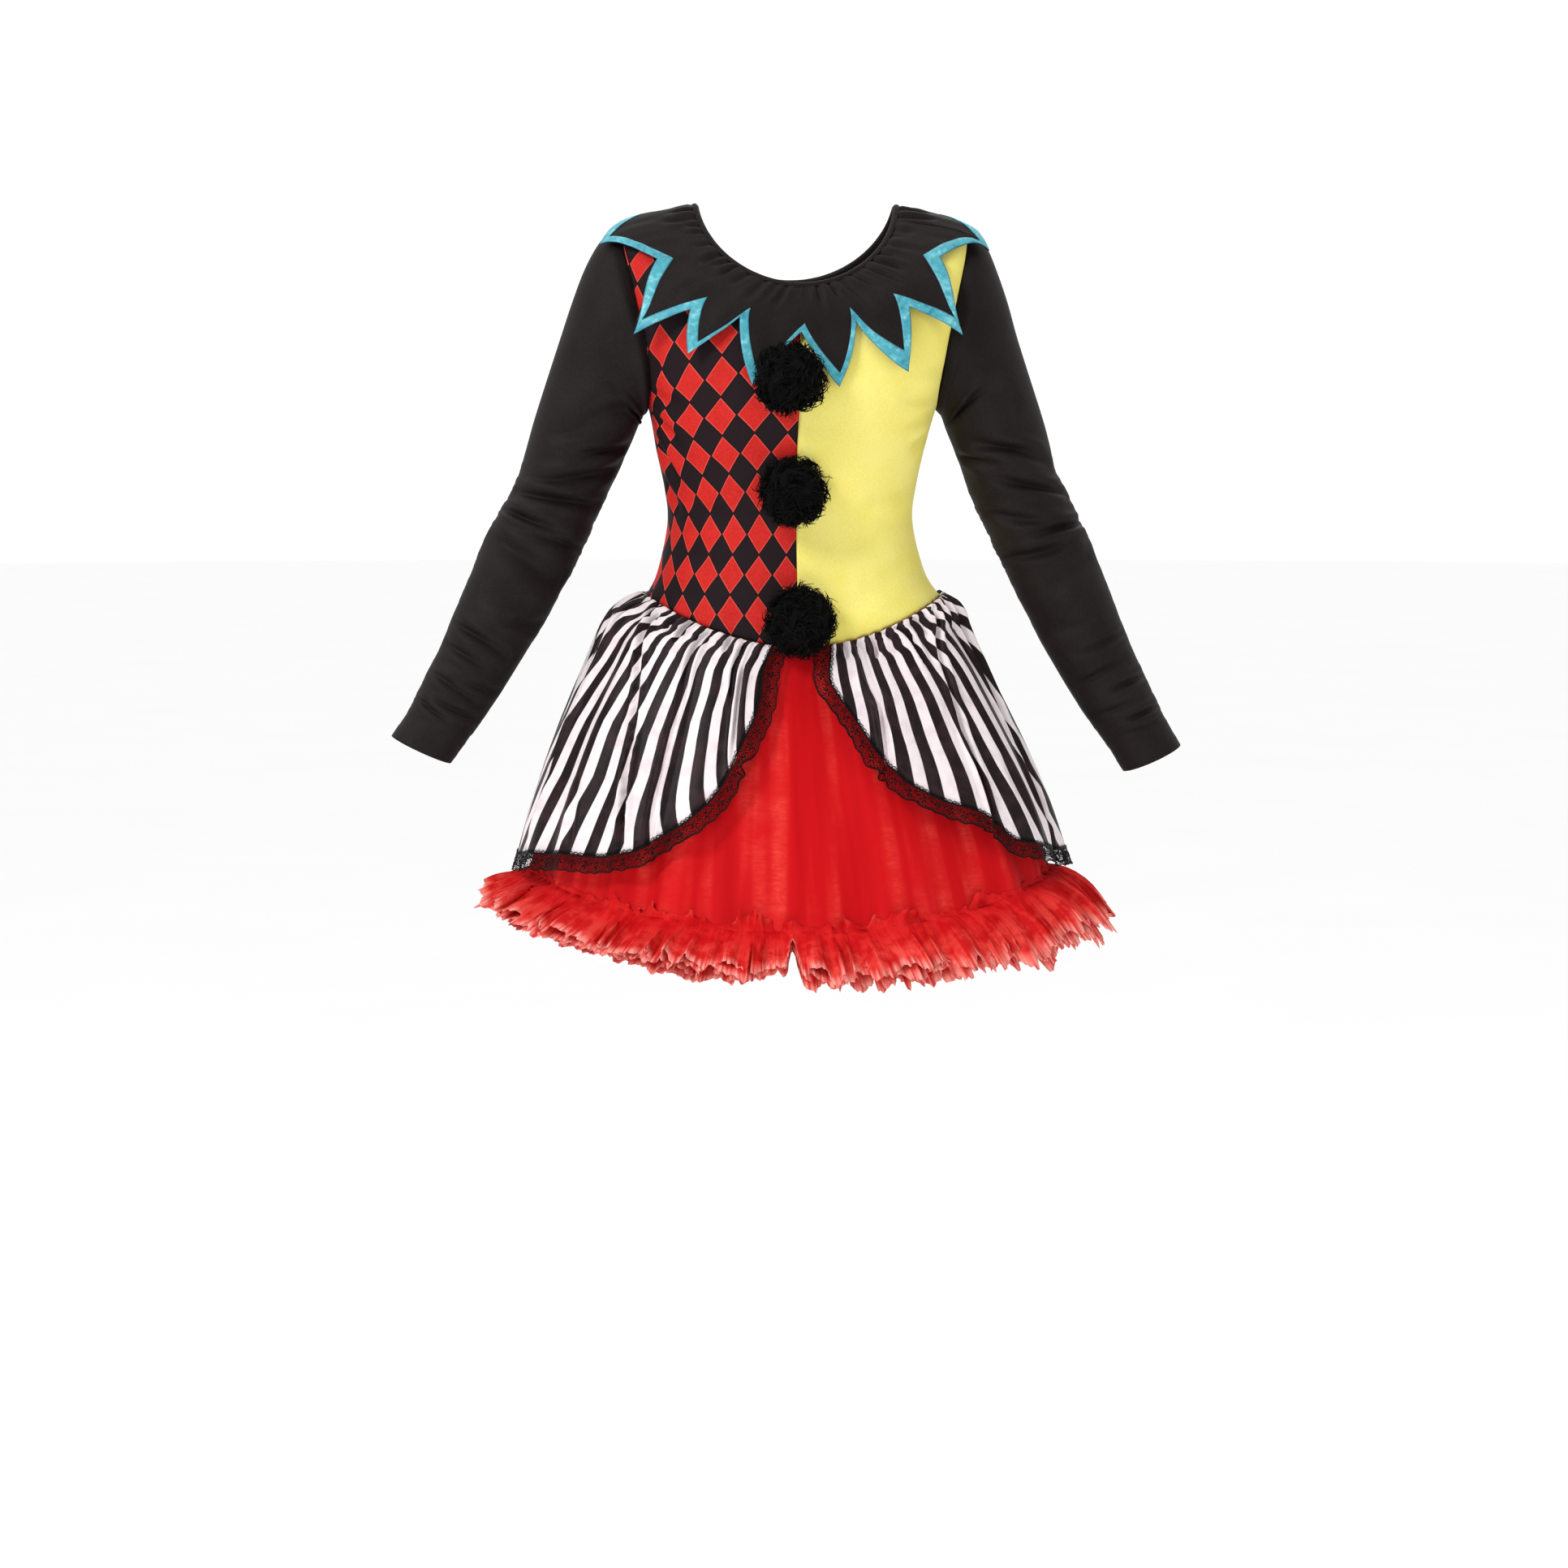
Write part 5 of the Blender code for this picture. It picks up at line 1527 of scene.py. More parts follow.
@dataclass
class Peplum:
    """Two curved front panels and a back panel of striped satin, gathered into the waist seam."""

    folds: int = 24
    fold_depth: float = 13.0
    columns: int = 340
    rows: int = 34
    wall: float = 0.7
    gathers: int = 84
    gather_depth: float = 4.4
    crease_strength: float = 1.9
    row_height: float = 52.0  # millimetres from one row to the next

    def stand(self, angle: Array, row: Array, creases: tuple) -> Array:
        """How far the cloth stands off its rings, in millimetres, never less than 0.25.

        The soft folds of the solid, a puff and fine gathers below the waist seam that fade down
        the cloth, less the creases.

        Args:
            angle, row: places on the rings.
            creases: the panel's own.
        Returns:
            Millimetres outwards.
        """
        down = np.clip(row / PEPLUM_LAST, 0, 1.2)
        depth = self.fold_depth * np.clip(row / 1.5, 0, 1) * (0.35 + 0.65 * down)
        soft = depth * (0.22 + 0.62 * fold_wave(angle, self.folds, 0.7))
        puff = 5.0 * (1 - np.exp(-row / 0.07)) * np.exp(-row / 1.3)
        fine = self.gather_depth * fold_wave(angle, self.gathers, 1.9)
        fine = fine * np.exp(-row / 0.55) * (1 - np.exp(-row / 0.05))
        degree = PEPLUM.size_across(angle, row) * math.pi / 180
        degrees = np.degrees(np.mod(np.abs(angle), TURN))
        fall = creases_fall(creases, degrees, row, degree, self.row_height)
        return np.maximum(soft + puff + fine - self.crease_strength * fall, 0.25)

    def point(self, angle: Array, row: Array, creases: tuple, back: bool = False) -> Array:
        """The peplum's outer surface, drawn back a little from the side seams.

        Args:
            angle, row: places on the rings.
            creases: the panel's own.
            back: whether it is the back panel.
        Returns:
            Points in millimetres.
        """
        stand = self.stand(angle, row, creases)
        points = PEPLUM.point(angle, row) + PEPLUM.normal(angle, row) * stand[..., None]
        points[..., 1] += (1 if back else -1) * side_gap(angle)
        return points

    def front_grid(self, edge_table: tuple) -> tuple[Array, Array]:
        """Angles and rows of a front panel, evenly divided along its curved lower edge.

        Args:
            edge_table: pairs of degrees and rows along the lower edge.
        Returns:
            Two grids.
        """
        edge = np.array(edge_table, float)
        fine = np.radians(np.linspace(edge[0, 0], 90, 800))
        foot = smooth_interp(np.degrees(fine), edge[:, 0], edge[:, 1])
        gone = arcs(PEPLUM.point(fine, foot), 0)
        steps = np.linspace(0, gone[-1], self.columns)
        angles, foot = np.interp(steps, gone, fine), np.interp(steps, gone, foot)
        return np.broadcast_to(angles, (self.rows, self.columns)), foot * self.shares()

    def shares(self) -> Array:
        """Shares of the way down, closer together at the gathered waist."""
        return np.linspace(0, 1, self.rows)[:, None] ** 1.25

    def build(self) -> None:
        """The three panels and, along their lower edges, three strips of lace."""
        for name, side, edge, creases, stripes in (
            ("left", Side.LEFT, PEPLUM_EDGE_LEFT, PEPLUM_LEFT_CREASES, Stripes(3.1, 0.38, 5.6)),
            ("right", Side.RIGHT, PEPLUM_EDGE_RIGHT, PEPLUM_RIGHT_CREASES, Stripes(3.3, 0.08, 4.8)),
        ):
            angles, rows = self.front_grid(edge)
            points = self.point(side.value * angles, rows, creases)
            uv = self.stripes(angles, rows, points, stripes)
            self.panel(f"peplum_front_{name}", points, uv, side is Side.LEFT)
            line = np.concatenate([points[:-1, 0], points[-1]])
            inside = np.concatenate([points[:-1, 2], points[-4]])
            LaceStrip(f"lace_front_{name}", line, inside, float(name == "left")).build()
        angles = np.linspace(math.pi / 2, 1.5 * math.pi, self.columns)
        angles = np.broadcast_to(angles, (self.rows, self.columns))
        rows = PEPLUM_LAST * self.shares() * np.ones_like(angles)
        points = self.point(angles, rows, PEPLUM_BACK_CREASES, back=True)
        uv = self.stripes(angles - math.pi / 2, rows, points, Stripes(1.2, 0.2, 5.2))
        self.panel("peplum_back", points, uv, True)
        LaceStrip("lace_back", points[-1], points[-4], 0.5).build()

    def stripes(self, angles: Array, rows: Array, points: Array, stripes: Stripes) -> Array:
        """Cloth coordinates: u counts pairs of stripes and v is the length down the cloth.

        The stripes lean outwards lower down: u = turned / pitch + start, with turned = angle -
        lean * rows below the first * (0.35 + 0.65 angle / 60). Of the angle, 0.6 is the folded
        length of the cloth in its place, so that the folds swallow part of the stripes.

        Args:
            angles, rows: of the panel, from its first edge.
            points: its surface.
            stripes: how they lie.
        Returns:
            Pairs of u and v.
        """
        degrees = np.degrees(angles)
        leaning = stripes.lean * np.clip(rows - 1.0, 0, 6) * (0.35 + 0.65 * degrees / 60)
        folded = arcs(points, 1)
        folded = folded / folded[:, -1:] * (degrees[:, -1:] - degrees[:, :1]) + degrees[:, :1]
        turned = 0.4 * degrees + 0.6 * folded - leaning
        return np.stack([turned / stripes.pitch + stripes.start, arcs(points, 0) / 100], -1)

    def panel(self, name: str, points: Array, uv: Array, flip: bool) -> None:
        """Makes one panel and states its cut."""
        maker = Maker().grid(points, uv, flip=flip)
        piece = maker.finish(f"{name}_cloth", material(Finishes.STRIPED_SATIN), self.wall)
        place(piece, name, "striped_satin", Cut.of(points, maker.area), "gathered")


def smooth_interp(x: Array, xs: Array, ys: Array, width: int = 31) -> Array:
    """Linear interpolation between knots, then softened to round its corners.

    Args:
        x: where it is read, at even steps.
        xs, ys: the knots.
        width: samples over which it is softened, less near both ends.
    Returns:
        Values at x.
    """
    line = np.interp(x, xs, ys)
    padded = np.concatenate([np.full(width, line[0]), line, np.full(width, line[-1])])
    kernel = np.hanning(width)
    soft = np.convolve(padded, kernel / kernel.sum(), mode="same")[width:-width]
    ends = np.minimum(np.arange(len(x)), np.arange(len(x))[::-1]) / width
    return line + (soft - line) * np.clip(ends, 0, 1)


@dataclass
class LaceStrip:
    """Black lace sewn over an edge: two cords, a net, flowers, and a scalloped outer cord.

    A point at s along the edge and w across is
    edge(s) + out(s) * (w - overlap) + normal(s) * (lift + ruffle), and ruffle grows with w.
    """

    name: str
    edge: Array
    inside: Array  # a line further up the cloth
    salt: float
    width: float = 21.0
    overlap: float = 3.0
    repeat: float = 17.0
    lift: float = 0.75
    net_pitch: float = 3.8
    petals: int = 5
    softened: int = 13  # points over which the direction outwards is smoothed

    def __post_init__(self) -> None:
        """Along the edge: the length gone, the direction off the cloth and the normal."""
        self.maker = Maker()
        self.gone = arcs(self.edge, 0)
        along = unit(np.gradient(self.edge, axis=0))
        out = self.edge - self.inside
        out = unit(out - along * np.sum(out * along, axis=1, keepdims=True))
        kernel = np.hanning(self.softened) / np.hanning(self.softened).sum()
        columns = np.pad(out, ((self.softened // 2,) * 2, (0, 0)), mode="edge").T
        self.out = unit(np.stack([np.convolve(x, kernel, mode="valid") for x in columns], -1))
        normal = np.cross(self.out, along)
        outward = np.sum(normal * self.edge * (1, 1, 0), axis=1, keepdims=True)
        self.normal = normal * np.sign(outward)

    def read(self, line: Array, s: Array) -> Array:
        """What a line of points or directions is at lengths along the edge."""
        return np.stack([np.interp(s, self.gone, x) for x in line.T], -1)

    def thread(
        self, s: Array, w: Array, half: Array | float, flat: float = 0.5, raised: float = 0.0
    ) -> None:
        """Adds threads along lines of s and w.

        Args:
            s, w: millimetres along the edge and across the strip.
            half: half the thread's width.
            flat: its thickness as a share of its width.
            raised: how far it lies over the others.
        """
        s = np.clip(s, 0, self.gone[-1])
        away = unit(self.read(self.normal, s))
        grown = np.clip((w - self.overlap) / self.width, 0, 1.3)
        ruffle = 1.7 * grown * wander(s / 6.5, 3.0 + self.salt)
        spots = self.read(self.edge, s) + self.read(self.out, s) * (w - self.overlap)[..., None]
        spots = spots + away * (self.lift + ruffle + raised)[..., None]
        self.maker.cords(spots, away, half, flat)

    def build(self) -> None:
        """Cords along both edges, the net between them and flowers on the net."""
        total = self.gone[-1]
        count = max(2, round(total / self.repeat))
        step = total / count
        long = np.linspace(0, total, int(total / 2.2))[None]
        self.thread(long, 0.3 + 1.1 * np.sin(long * TURN / 6.1), 0.6, raised=0.3)
        self.thread(long, 2.9 + 0.25 * np.sin(long * TURN / 2.9 + 1), 1.4, 0.2)
        scallop = self.width - 1.7 * (0.5 + 0.5 * np.cos(long * TURN / step))
        scallop = scallop + 0.5 * wander(long / 5, self.salt)
        self.thread(long, scallop, 1.0, raised=0.15)
        self.thread(long, scallop - 1.7, 0.6, 0.4)
        self.thread(long, scallop - 3.9 + 0.6 * np.sin(long * TURN / 3.1), 0.4)
        net = np.arange(-self.width, total, self.net_pitch)[:, None]
        drop = np.linspace(0, 1, 4)[None]
        across = drop * self.width * 0.8
        self.thread(net + across, 1.0 + drop * (self.width - 3.0), 0.32)
        self.thread(net + self.width * 0.8 - across, 1.0 + drop * (self.width - 3.0), 0.32)
        centres = (np.arange(count) + 0.5)[:, None] * step
        for petal in range(self.petals):
            self.petal(petal, count, centres, 11.6, 4.6, 1.0)
            self.petal(petal, count, centres + step / 2, 8.2, 3.4, 2.0)
        piece = self.maker.finish(f"{self.name}_threads", material(Finishes.BLACK_LACE))
        cut = Cut(total, self.width, self.maker.thread_area())
        place(piece, self.name, "black_lace", cut, "hung")

    def petal(
        self, k: int, count: int, middle: Array, across: float, size: float, salt: float
    ) -> None:
        """One petal of every flower in a row, each a little turned and longer or shorter.

        Args:
            k: the petal's number.
            count: of flowers.
            middle, across: where the flowers are, along the edge and across the strip.
            size: length of a petal.
            salt: sets how the flowers differ.
        """
        flower = np.arange(count)
        turned = 0.6 * scatter(flower + 31 * k, salt + self.salt)[:, None]
        turn = (k + turned) * TURN / self.petals
        longer = 0.8 + 0.4 * scatter(flower + 17 * k, salt)[:, None]
        reach = 0.9 + size * np.linspace(0, 1, 4)[None] * longer
        girth = np.array([0.45, 1.25, 1.05, 0.35]) * size / 4.6
        s, w = middle + reach * np.cos(turn), across + reach * np.sin(turn)
        self.thread(s, w, girth, 0.4, raised=0.1)


# ---- skirt and frills ----
SKIRT = Rings(
    (
        (160.5, -432.7, -115.5, -482.2, 103.5, -430.2, 1, 2, -1),
        (176, -448, -122, -500, 119, -446, 1, 2, -6),
        (188, -474, -133, -527, 137, -470, 1, 2, -10),
        (211, -520, -156, -573, 161, -515, 1, 2, -8),
        (246, -592, -187, -644, 189, -586, 1, 2, -6),
        (274, -666, -218, -714, 216, -660, 1, 2, -4),
        (296, -740, -250, -774, 243, -732, 1, 2, -2.5),
    )
)
SKIRT_LAST = len(SKIRT.table) - 1
FRILL_UPPER = Rings(
    (
        (312, -749, -264, -783, 258, -741, 1, 2, -2),
        (343, -775, -293, -804, 289, -767, 1, 2, 0),
    )
)
FRILL_LOWER = Rings(
    (
        (304, -764, -256, -794, 250, -756, 1, 2, -2),
        (326, -787, -278, -819, 273, -779, 1, 2, 0),
    )
)


@dataclass
class Skirt:
    """Front and back of the red skirt, and the two layers of frill at its hem."""

    folds: int = 16
    fold_depth: float = 14.0
    fine_folds: int = 37
    gathers: int = 90
    columns: int = 196
    rows: int = 36
    wall: float = 0.6

    def point(self, angle: Array, row: Array) -> Array:
        """The skirt's outer surface: its rings, less soft folds that deepen towards the hem.

        Args:
            angle, row: places on the rings.
        Returns:
            Points in millimetres.
        """
        down = row / SKIRT_LAST
        fall = self.fold_depth * down**1.2 * (1 - fold_wave(angle, self.folds, 2.3))
        fall += 2.6 * down * (1 - fold_wave(angle, self.fine_folds, 0.9))
        fall += 0.8 * np.exp(-row / 0.8) * fold_wave(angle, self.gathers, 1.1)
        return SKIRT.point(angle, row) - SKIRT.normal(angle, row) * fall[..., None]

    def build(self) -> None:
        """Both halves, from one side seam to the other, each with its frills."""
        for name, start, towards in (("front", -math.pi / 2, -1), ("back", math.pi / 2, 1)):
            angles = start + np.linspace(0, math.pi, self.columns)
            rows = SKIRT_LAST * np.linspace(0, 1, self.rows)[:, None]
            angles, rows = np.broadcast_arrays(angles, rows)
            points = self.point(angles, rows)
            points[..., 1] += towards * side_gap(angles)
            uv = np.stack([angles * 2.4, arcs(points, 0) / 100], -1)  # one unit is about 100 mm
            maker = Maker().grid(points, uv, flip=True)
            piece = maker.finish(f"skirt_{name}_cloth", material(Finishes.RED_ORGANZA), self.wall)
            place(piece, f"skirt_{name}", "red_net", Cut.of(points, maker.area), "gathered")
            Frill(f"frill_lower_{name}", self, start, towards, FRILL_LOWER, 1.0, False).build()
            Frill(f"frill_upper_{name}", self, start, towards, FRILL_UPPER, 5.0, True).build()


@dataclass
class Frill:
    """Two plies of net along half the hem, ruffled more and more towards a ragged edge.

    The middle line of a ply runs from the hem through two rings. Across it the cloth sways by
    A(v) * wave(angle), and along it by B(v) * the wave a quarter turn later, so that the pleats
    lean over each other. Above the line where it is gathered, v < 0, the first ply of the upper
    frill lies on the skirt with a ragged head, and in front it stands up in short ruffles.
    """

    name: str
    skirt: Skirt
    start: float  # angle of its first edge
    towards: int  # -1 for the front and 1 for the back
    rings: Rings
    salt: float
    upper: bool
    columns: int = 500
    rows: int = 10
    standing_rows: int = 3
    head: float = 8.0  # from the hem up to the gathers of the upper frill
    tilt: float = 0.034  # the edge hangs lower at the wearer's left
    pleats: int = 56
    parting: tuple[float, float] = (-0.054, 0.016)  # angle and width where the strip's ends part
    short: tuple[float, float] = (-0.092, 0.05)  # angle and half width of a shorter stretch
    wall: float = 0.25

    def __post_init__(self) -> None:
        """What both plies share: their angles, the lines they run through and the parting."""
        self.angles = self.start + np.linspace(0, math.pi, self.columns)
        last = np.full_like(self.angles, SKIRT_LAST)
        hem = self.skirt.point(self.angles, last)
        self.down = unit(hem - self.skirt.point(self.angles, last - 0.1))
        self.out = SKIRT.normal(self.angles, last)
        gathered = hem - self.down * self.head + self.out * 1.6
        edge = self.rings.point(self.angles, 0 * last + 1)
        edge[:, 2] -= self.tilt * edge[:, 0]
        middle = self.rings.point(self.angles, 0 * last)
        self.lines = (gathered if self.upper else hem + self.down * 0.3, middle, edge)
        self.parted = np.exp(-(((self.angles - self.parting[0]) / self.parting[1]) ** 2))

    def length(self, ply: int, mark: float, lumps: Array) -> Array:
        """Length of a ply as a share of the way to the second ring: lumps, and a ragged edge.

        Args:
            ply: 0 or 1.
            mark: sets how the ply wanders.
            lumps: heights of its broad waves.
        Returns:
            One share for each angle.
        """
        length = 0.95 + 0.07 * wander(self.angles * 9, mark + 1) + 0.11 * lumps + 0.05 * ply
        length = length + 0.05 * self.upper + 0.075 * wander(self.angles * 48, mark + 2)
        off = (self.angles - self.short[0]) / self.short[1]
        return length * (1 - 0.2 / (1 + off**6) - 0.5 * self.parted)

    def middle(self, length: Array, v: Array) -> Array:
        """The curve h (1-t)^2 + 2 c t (1-t) + s t^2 of each angle, with t = v * length.

        c is chosen so that the curve passes through the first ring half way.

        Args:
            length: of the ply.
            v: shares of the way down.
        Returns:
            A grid of points.
        """
        head, first, second = self.lines
        control = 2 * first - 0.5 * (head + second)
        t = (np.maximum(v, 0) * length)[..., None]
        return (1 - t) ** 2 * head + 2 * t * (1 - t) * control + t**2 * second

    def ply(self, ply: int, v: Array) -> tuple[Array, Array]:
        """The surface of a ply.

        Args:
            ply: 0 or 1.
            v: shares of the way down, below 0 above the gathers.
        Returns:
            Its points, and how far it stands up above the gathers.
        """
        angles, mark = self.angles, self.salt + 3.3 * ply
        wide, lumps = wander(angles * 9, mark), wander(angles * 15, mark + 7)
        line = self.middle(self.length(ply, mark, lumps), v)
        above = np.clip(-v, 0, None)
        here = ease(0.5 + 0.9 * wander(angles * 13, mark + 5))
        here = here * ease((0.84 - np.abs(np.sin(angles))) / 0.3)
        here = here * (self.towards < 0)  # under the back of the peplum it lies flat
        up = above * here
        raised = up * np.maximum(42 + 44 * wander(angles * 20, mark + 3) + 26 * lumps, 4)
        line = line + (-0.62 * self.down + 0.78 * self.out)[None] * raised[..., None]
        ragged = (16 + 12 * wander(angles * 24, mark + 9))[:, None]
        line = line - (self.down * ragged + 4.2 * self.out)[None] * above[..., None]
        along = unit(np.gradient(line, axis=1))
        normal = unit(np.cross(unit(np.gradient(line, axis=0)), along))
        normal *= np.sign(np.sum(normal * line * (1, 1, 0), axis=-1)).mean()
        phase = self.pleats * angles + 3.4 * np.sin(9 * angles + mark)
        phase = phase + 2.6 * np.sin(23 * angles + 2 * mark)
        phase = phase + 1.2 * np.sin(41 * angles + 3 * mark) + 1.1 * ply + 0.9 * v * lumps
        size = (0.78 + 0.3 * wander(angles * 11, mark + 4)) * (0.75 if ply else 1.0)
        spread = ease(np.maximum(v, 0) * 1.2 + 3.0 * up)
        swing = (0.6 + 8.4 * spread) * size * (1 - 0.8 * self.parted**0.3)
        sway = swing * np.sin(phase) + 1.5 * spread * np.sin(2.7 * phase + 1)
        sway = sway + (3.5 * wide + 4 * lumps - 4 * ply) * ease(v) * 1.4
        sway = np.maximum(sway, -5.5)
        lean = 0.55 * swing * np.cos(phase)
        points = line + normal * sway[..., None] + along * lean[..., None]
        points[..., 1] += self.towards * side_gap(angles, SEAM_SHIFT + 0.3)
        return points, up

    def build(self) -> None:
        """Both plies as one piece."""
        maker, plies = Maker(), []
        for ply in (0, 1):
            standing = self.standing_rows if self.upper and ply == 0 else 0
            v = np.linspace(-0.1 * standing, 1, self.rows + standing)[:, None]
            points, up = self.ply(ply, v)
            gone = arcs(points[-1:], 1) * MILLIMETRE
            uv = np.stack(np.broadcast_arrays(gone, np.maximum(v, 0) + 2.2 * up), -1)
            maker.grid(points, uv, flip=True)
            plies.append(points)
        piece = maker.finish(f"{self.name}_net", material(Finishes.RED_TULLE), self.wall)
        cut = Cut.of(plies[0], maker.area / 2)
        both = Cut(cut.width, cut.length * 2, min(maker.area, cut.width * cut.length * 2))
        place(piece, self.name, "red_net", both, "gathered")


# ---- pompoms ----
@dataclass
class Pompom:
    """A ball of long pile, pressed flatter against the cloth: tufts of tapering strands."""

    name: str
    height: float
    to_the_left: float
    stand_off: float
    radius: float
    seed: int
    tufts: int = 230
    strands: int = 6
    core: float = 0.8
    back: float = 0.45

    def seat(self) -> tuple[Array, Array]:
        """The place on the bodice behind the pompom, and the outward normal there.

        Returns:
            A point in millimetres and a unit vector.
        """
        rows = np.linspace(0, len(BODY.table) - 1, 400)
        front = BODY.point(np.zeros_like(rows), rows)
        at = np.array(np.interp(self.height, front[:, 2], rows))
        turn = np.array(math.asin(self.to_the_left / float(smooth_rows(BODY.table, at)[0])))
        return BODY.point(turn, at), BODY.normal(turn, at)

    def ball(self) -> Array:
        """The dark core: radius * core * (1 + 0.06 sin(5x + 3z + seed) cos(4y)) each way.

        Returns:
            A grid of points, 21 rings of 40.
        """
        turn = np.linspace(0, TURN, 41)[:-1]
        rise = np.linspace(-math.pi / 2 + 0.05, math.pi / 2 - 0.05, 21)[:, None]
        x, y = np.cos(rise) * np.cos(turn), np.cos(rise) * np.sin(turn)
        ball = np.stack(np.broadcast_arrays(x, y, np.sin(rise)), -1)
        lump = 0.06 * np.sin(5 * ball[..., 0] + 3 * ball[..., 2] + self.seed)
        lump = 1 + lump * np.cos(4 * ball[..., 1])
        return ball * self.radius * self.core * lump[..., None]

    def pile(self) -> tuple[Array, Array]:
        """Paths of all strands and directions square to them: tufts aim outwards and hook over.

        Returns:
            Points of shape (strands, 5, 3), and unit vectors of the same shape.
        """
        random = np.random.default_rng(self.seed)
        r, one = self.radius, (self.tufts, 1, 1)
        number = np.arange(self.tufts) + 0.5
        tilt, around = np.arccos(1 - 2 * number / self.tufts), number * math.pi * (1 + 5**0.5)
        x, z = np.sin(tilt) * np.cos(around), np.sin(tilt) * np.sin(around)
        aim = np.stack([x, np.cos(tilt), z], -1)
        aim = unit(aim + random.normal(0, 0.10, aim.shape))
        side = unit(np.cross(aim, unit(random.normal(0, 1, aim.shape))))
        other = np.cross(aim, side)
        t = np.linspace(0, 1, 5)[None, :, None]
        length = 1.34 + 0.13 * random.normal(0, 1, one).clip(-1.5, 1.6)
        length = r * (1.0 - self.core * 0.85) * length
        hook = r * random.uniform(0.35, 0.68, one)
        curl = r * random.uniform(0.02, 0.05, one)
        pace = random.uniform(3.5, 6.5, one) * t
        line = aim[:, None] * (r * self.core * 0.85 + length * (t - 0.9 * (hook / r) * t**3))
        line = line + side[:, None] * (hook * t**1.8 + curl * t * np.sin(pace))
        line = line + other[:, None] * curl * t * np.cos(pace)
        spread = (0.045 + 0.01 * t[:, None]) * r
        offset = random.normal(0, 1, (self.tufts, self.strands, 3))[:, :, None] * spread
        reach = 1 - 0.16 * random.random((self.tufts, self.strands, 1, 1)) * t[:, None]
        paths = (line[:, None] * reach + offset).reshape(-1, 5, 3)
        across = random.normal(0, 1, (len(paths), 1, 3))
        return paths, unit(np.cross(np.gradient(paths, axis=1), across))

    def build(self) -> None:
        """A closed core, in the root's painted shade, under tufts whose strands curl and spread."""
        seat, normal = self.seat()
        paths, out = self.pile()
        cords, core = self.press(paths), self.press(self.ball())
        limit = core[..., 1].max() + self.stand_off
        cords[..., 1] = np.minimum(cords[..., 1], limit)
        core = self.settle(core, limit, seat, normal)
        # cloth coordinates of 0 give the core the root colour: painted shade inside the pompom
        maker = Maker().grid(core, np.zeros((21, 41, 2)), closed=True)
        maker.lid(core[0], flip=True)
        maker.lid(core[-1], flip=False)
        taper = 0.85 * np.array([1.1, 1.25, 1.15, 0.8, 0.3])
        maker.cords(self.settle(cords, limit, seat, normal), self.turned(out, normal), taper, 0.5)
        piece = maker.finish(f"{self.name}_pile", material(Finishes.BLACK_FUR))
        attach(piece, "root")
        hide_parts(self.name)
        LOG.info("%s: %d strands", piece.name, len(paths))

    def press(self, points: Array) -> Array:
        """Flattens what lies behind the middle, y over 0, towards it."""
        pressed = points.copy()
        pressed[..., 1] *= np.where(points[..., 1] > 0, self.back, 1.0)
        return pressed

    def turned(self, vectors: Array, normal: Array) -> Array:
        """Turns vectors so that -Y points along the cloth's normal."""
        right = unit(np.cross(np.array([0, 0, 1.0]), normal))
        return vectors @ np.stack([right, -normal, np.cross(normal, right)])

    def settle(self, points: Array, behind: float, seat: Array, normal: Array) -> Array:
        """Moves the ball so that its back lies on the cloth, and turns it to face outwards."""
        return self.turned(points - np.array([0, behind + 0.6, 0]), normal) + seat


# ---- studio ----
@dataclass(frozen=True)
class Softbox:
    """A large square light that faces a point of the dress."""

    name: str
    place: tuple[float, float, float]
    size: float
    watts: float
    colour: str = "#ffffff"
    aim: tuple[float, float, float] = (0.0, 0.0, -0.42)

    def build(self) -> None:
        """Makes the light and turns it to its aim."""
        data = bpy.data.lights.new(self.name, "AREA")
        data.shape, data.size, data.energy = "SQUARE", self.size, self.watts
        data.color = linear(self.colour)[:3]
        lamp = bpy.data.objects.new(self.name, data)
        bpy.context.scene.collection.objects.link(lamp)
        turn_to(lamp, self.place, self.aim)


def turn_to(thing: Object, place_at: tuple, aim: tuple) -> None:
    """Puts an object at a place with its -Z towards another and its X level."""
    thing.location = place_at
    thing.rotation_mode = "QUATERNION"
    thing.rotation_quaternion = (Vector(aim) - Vector(place_at)).to_track_quat("-Z", "Y")


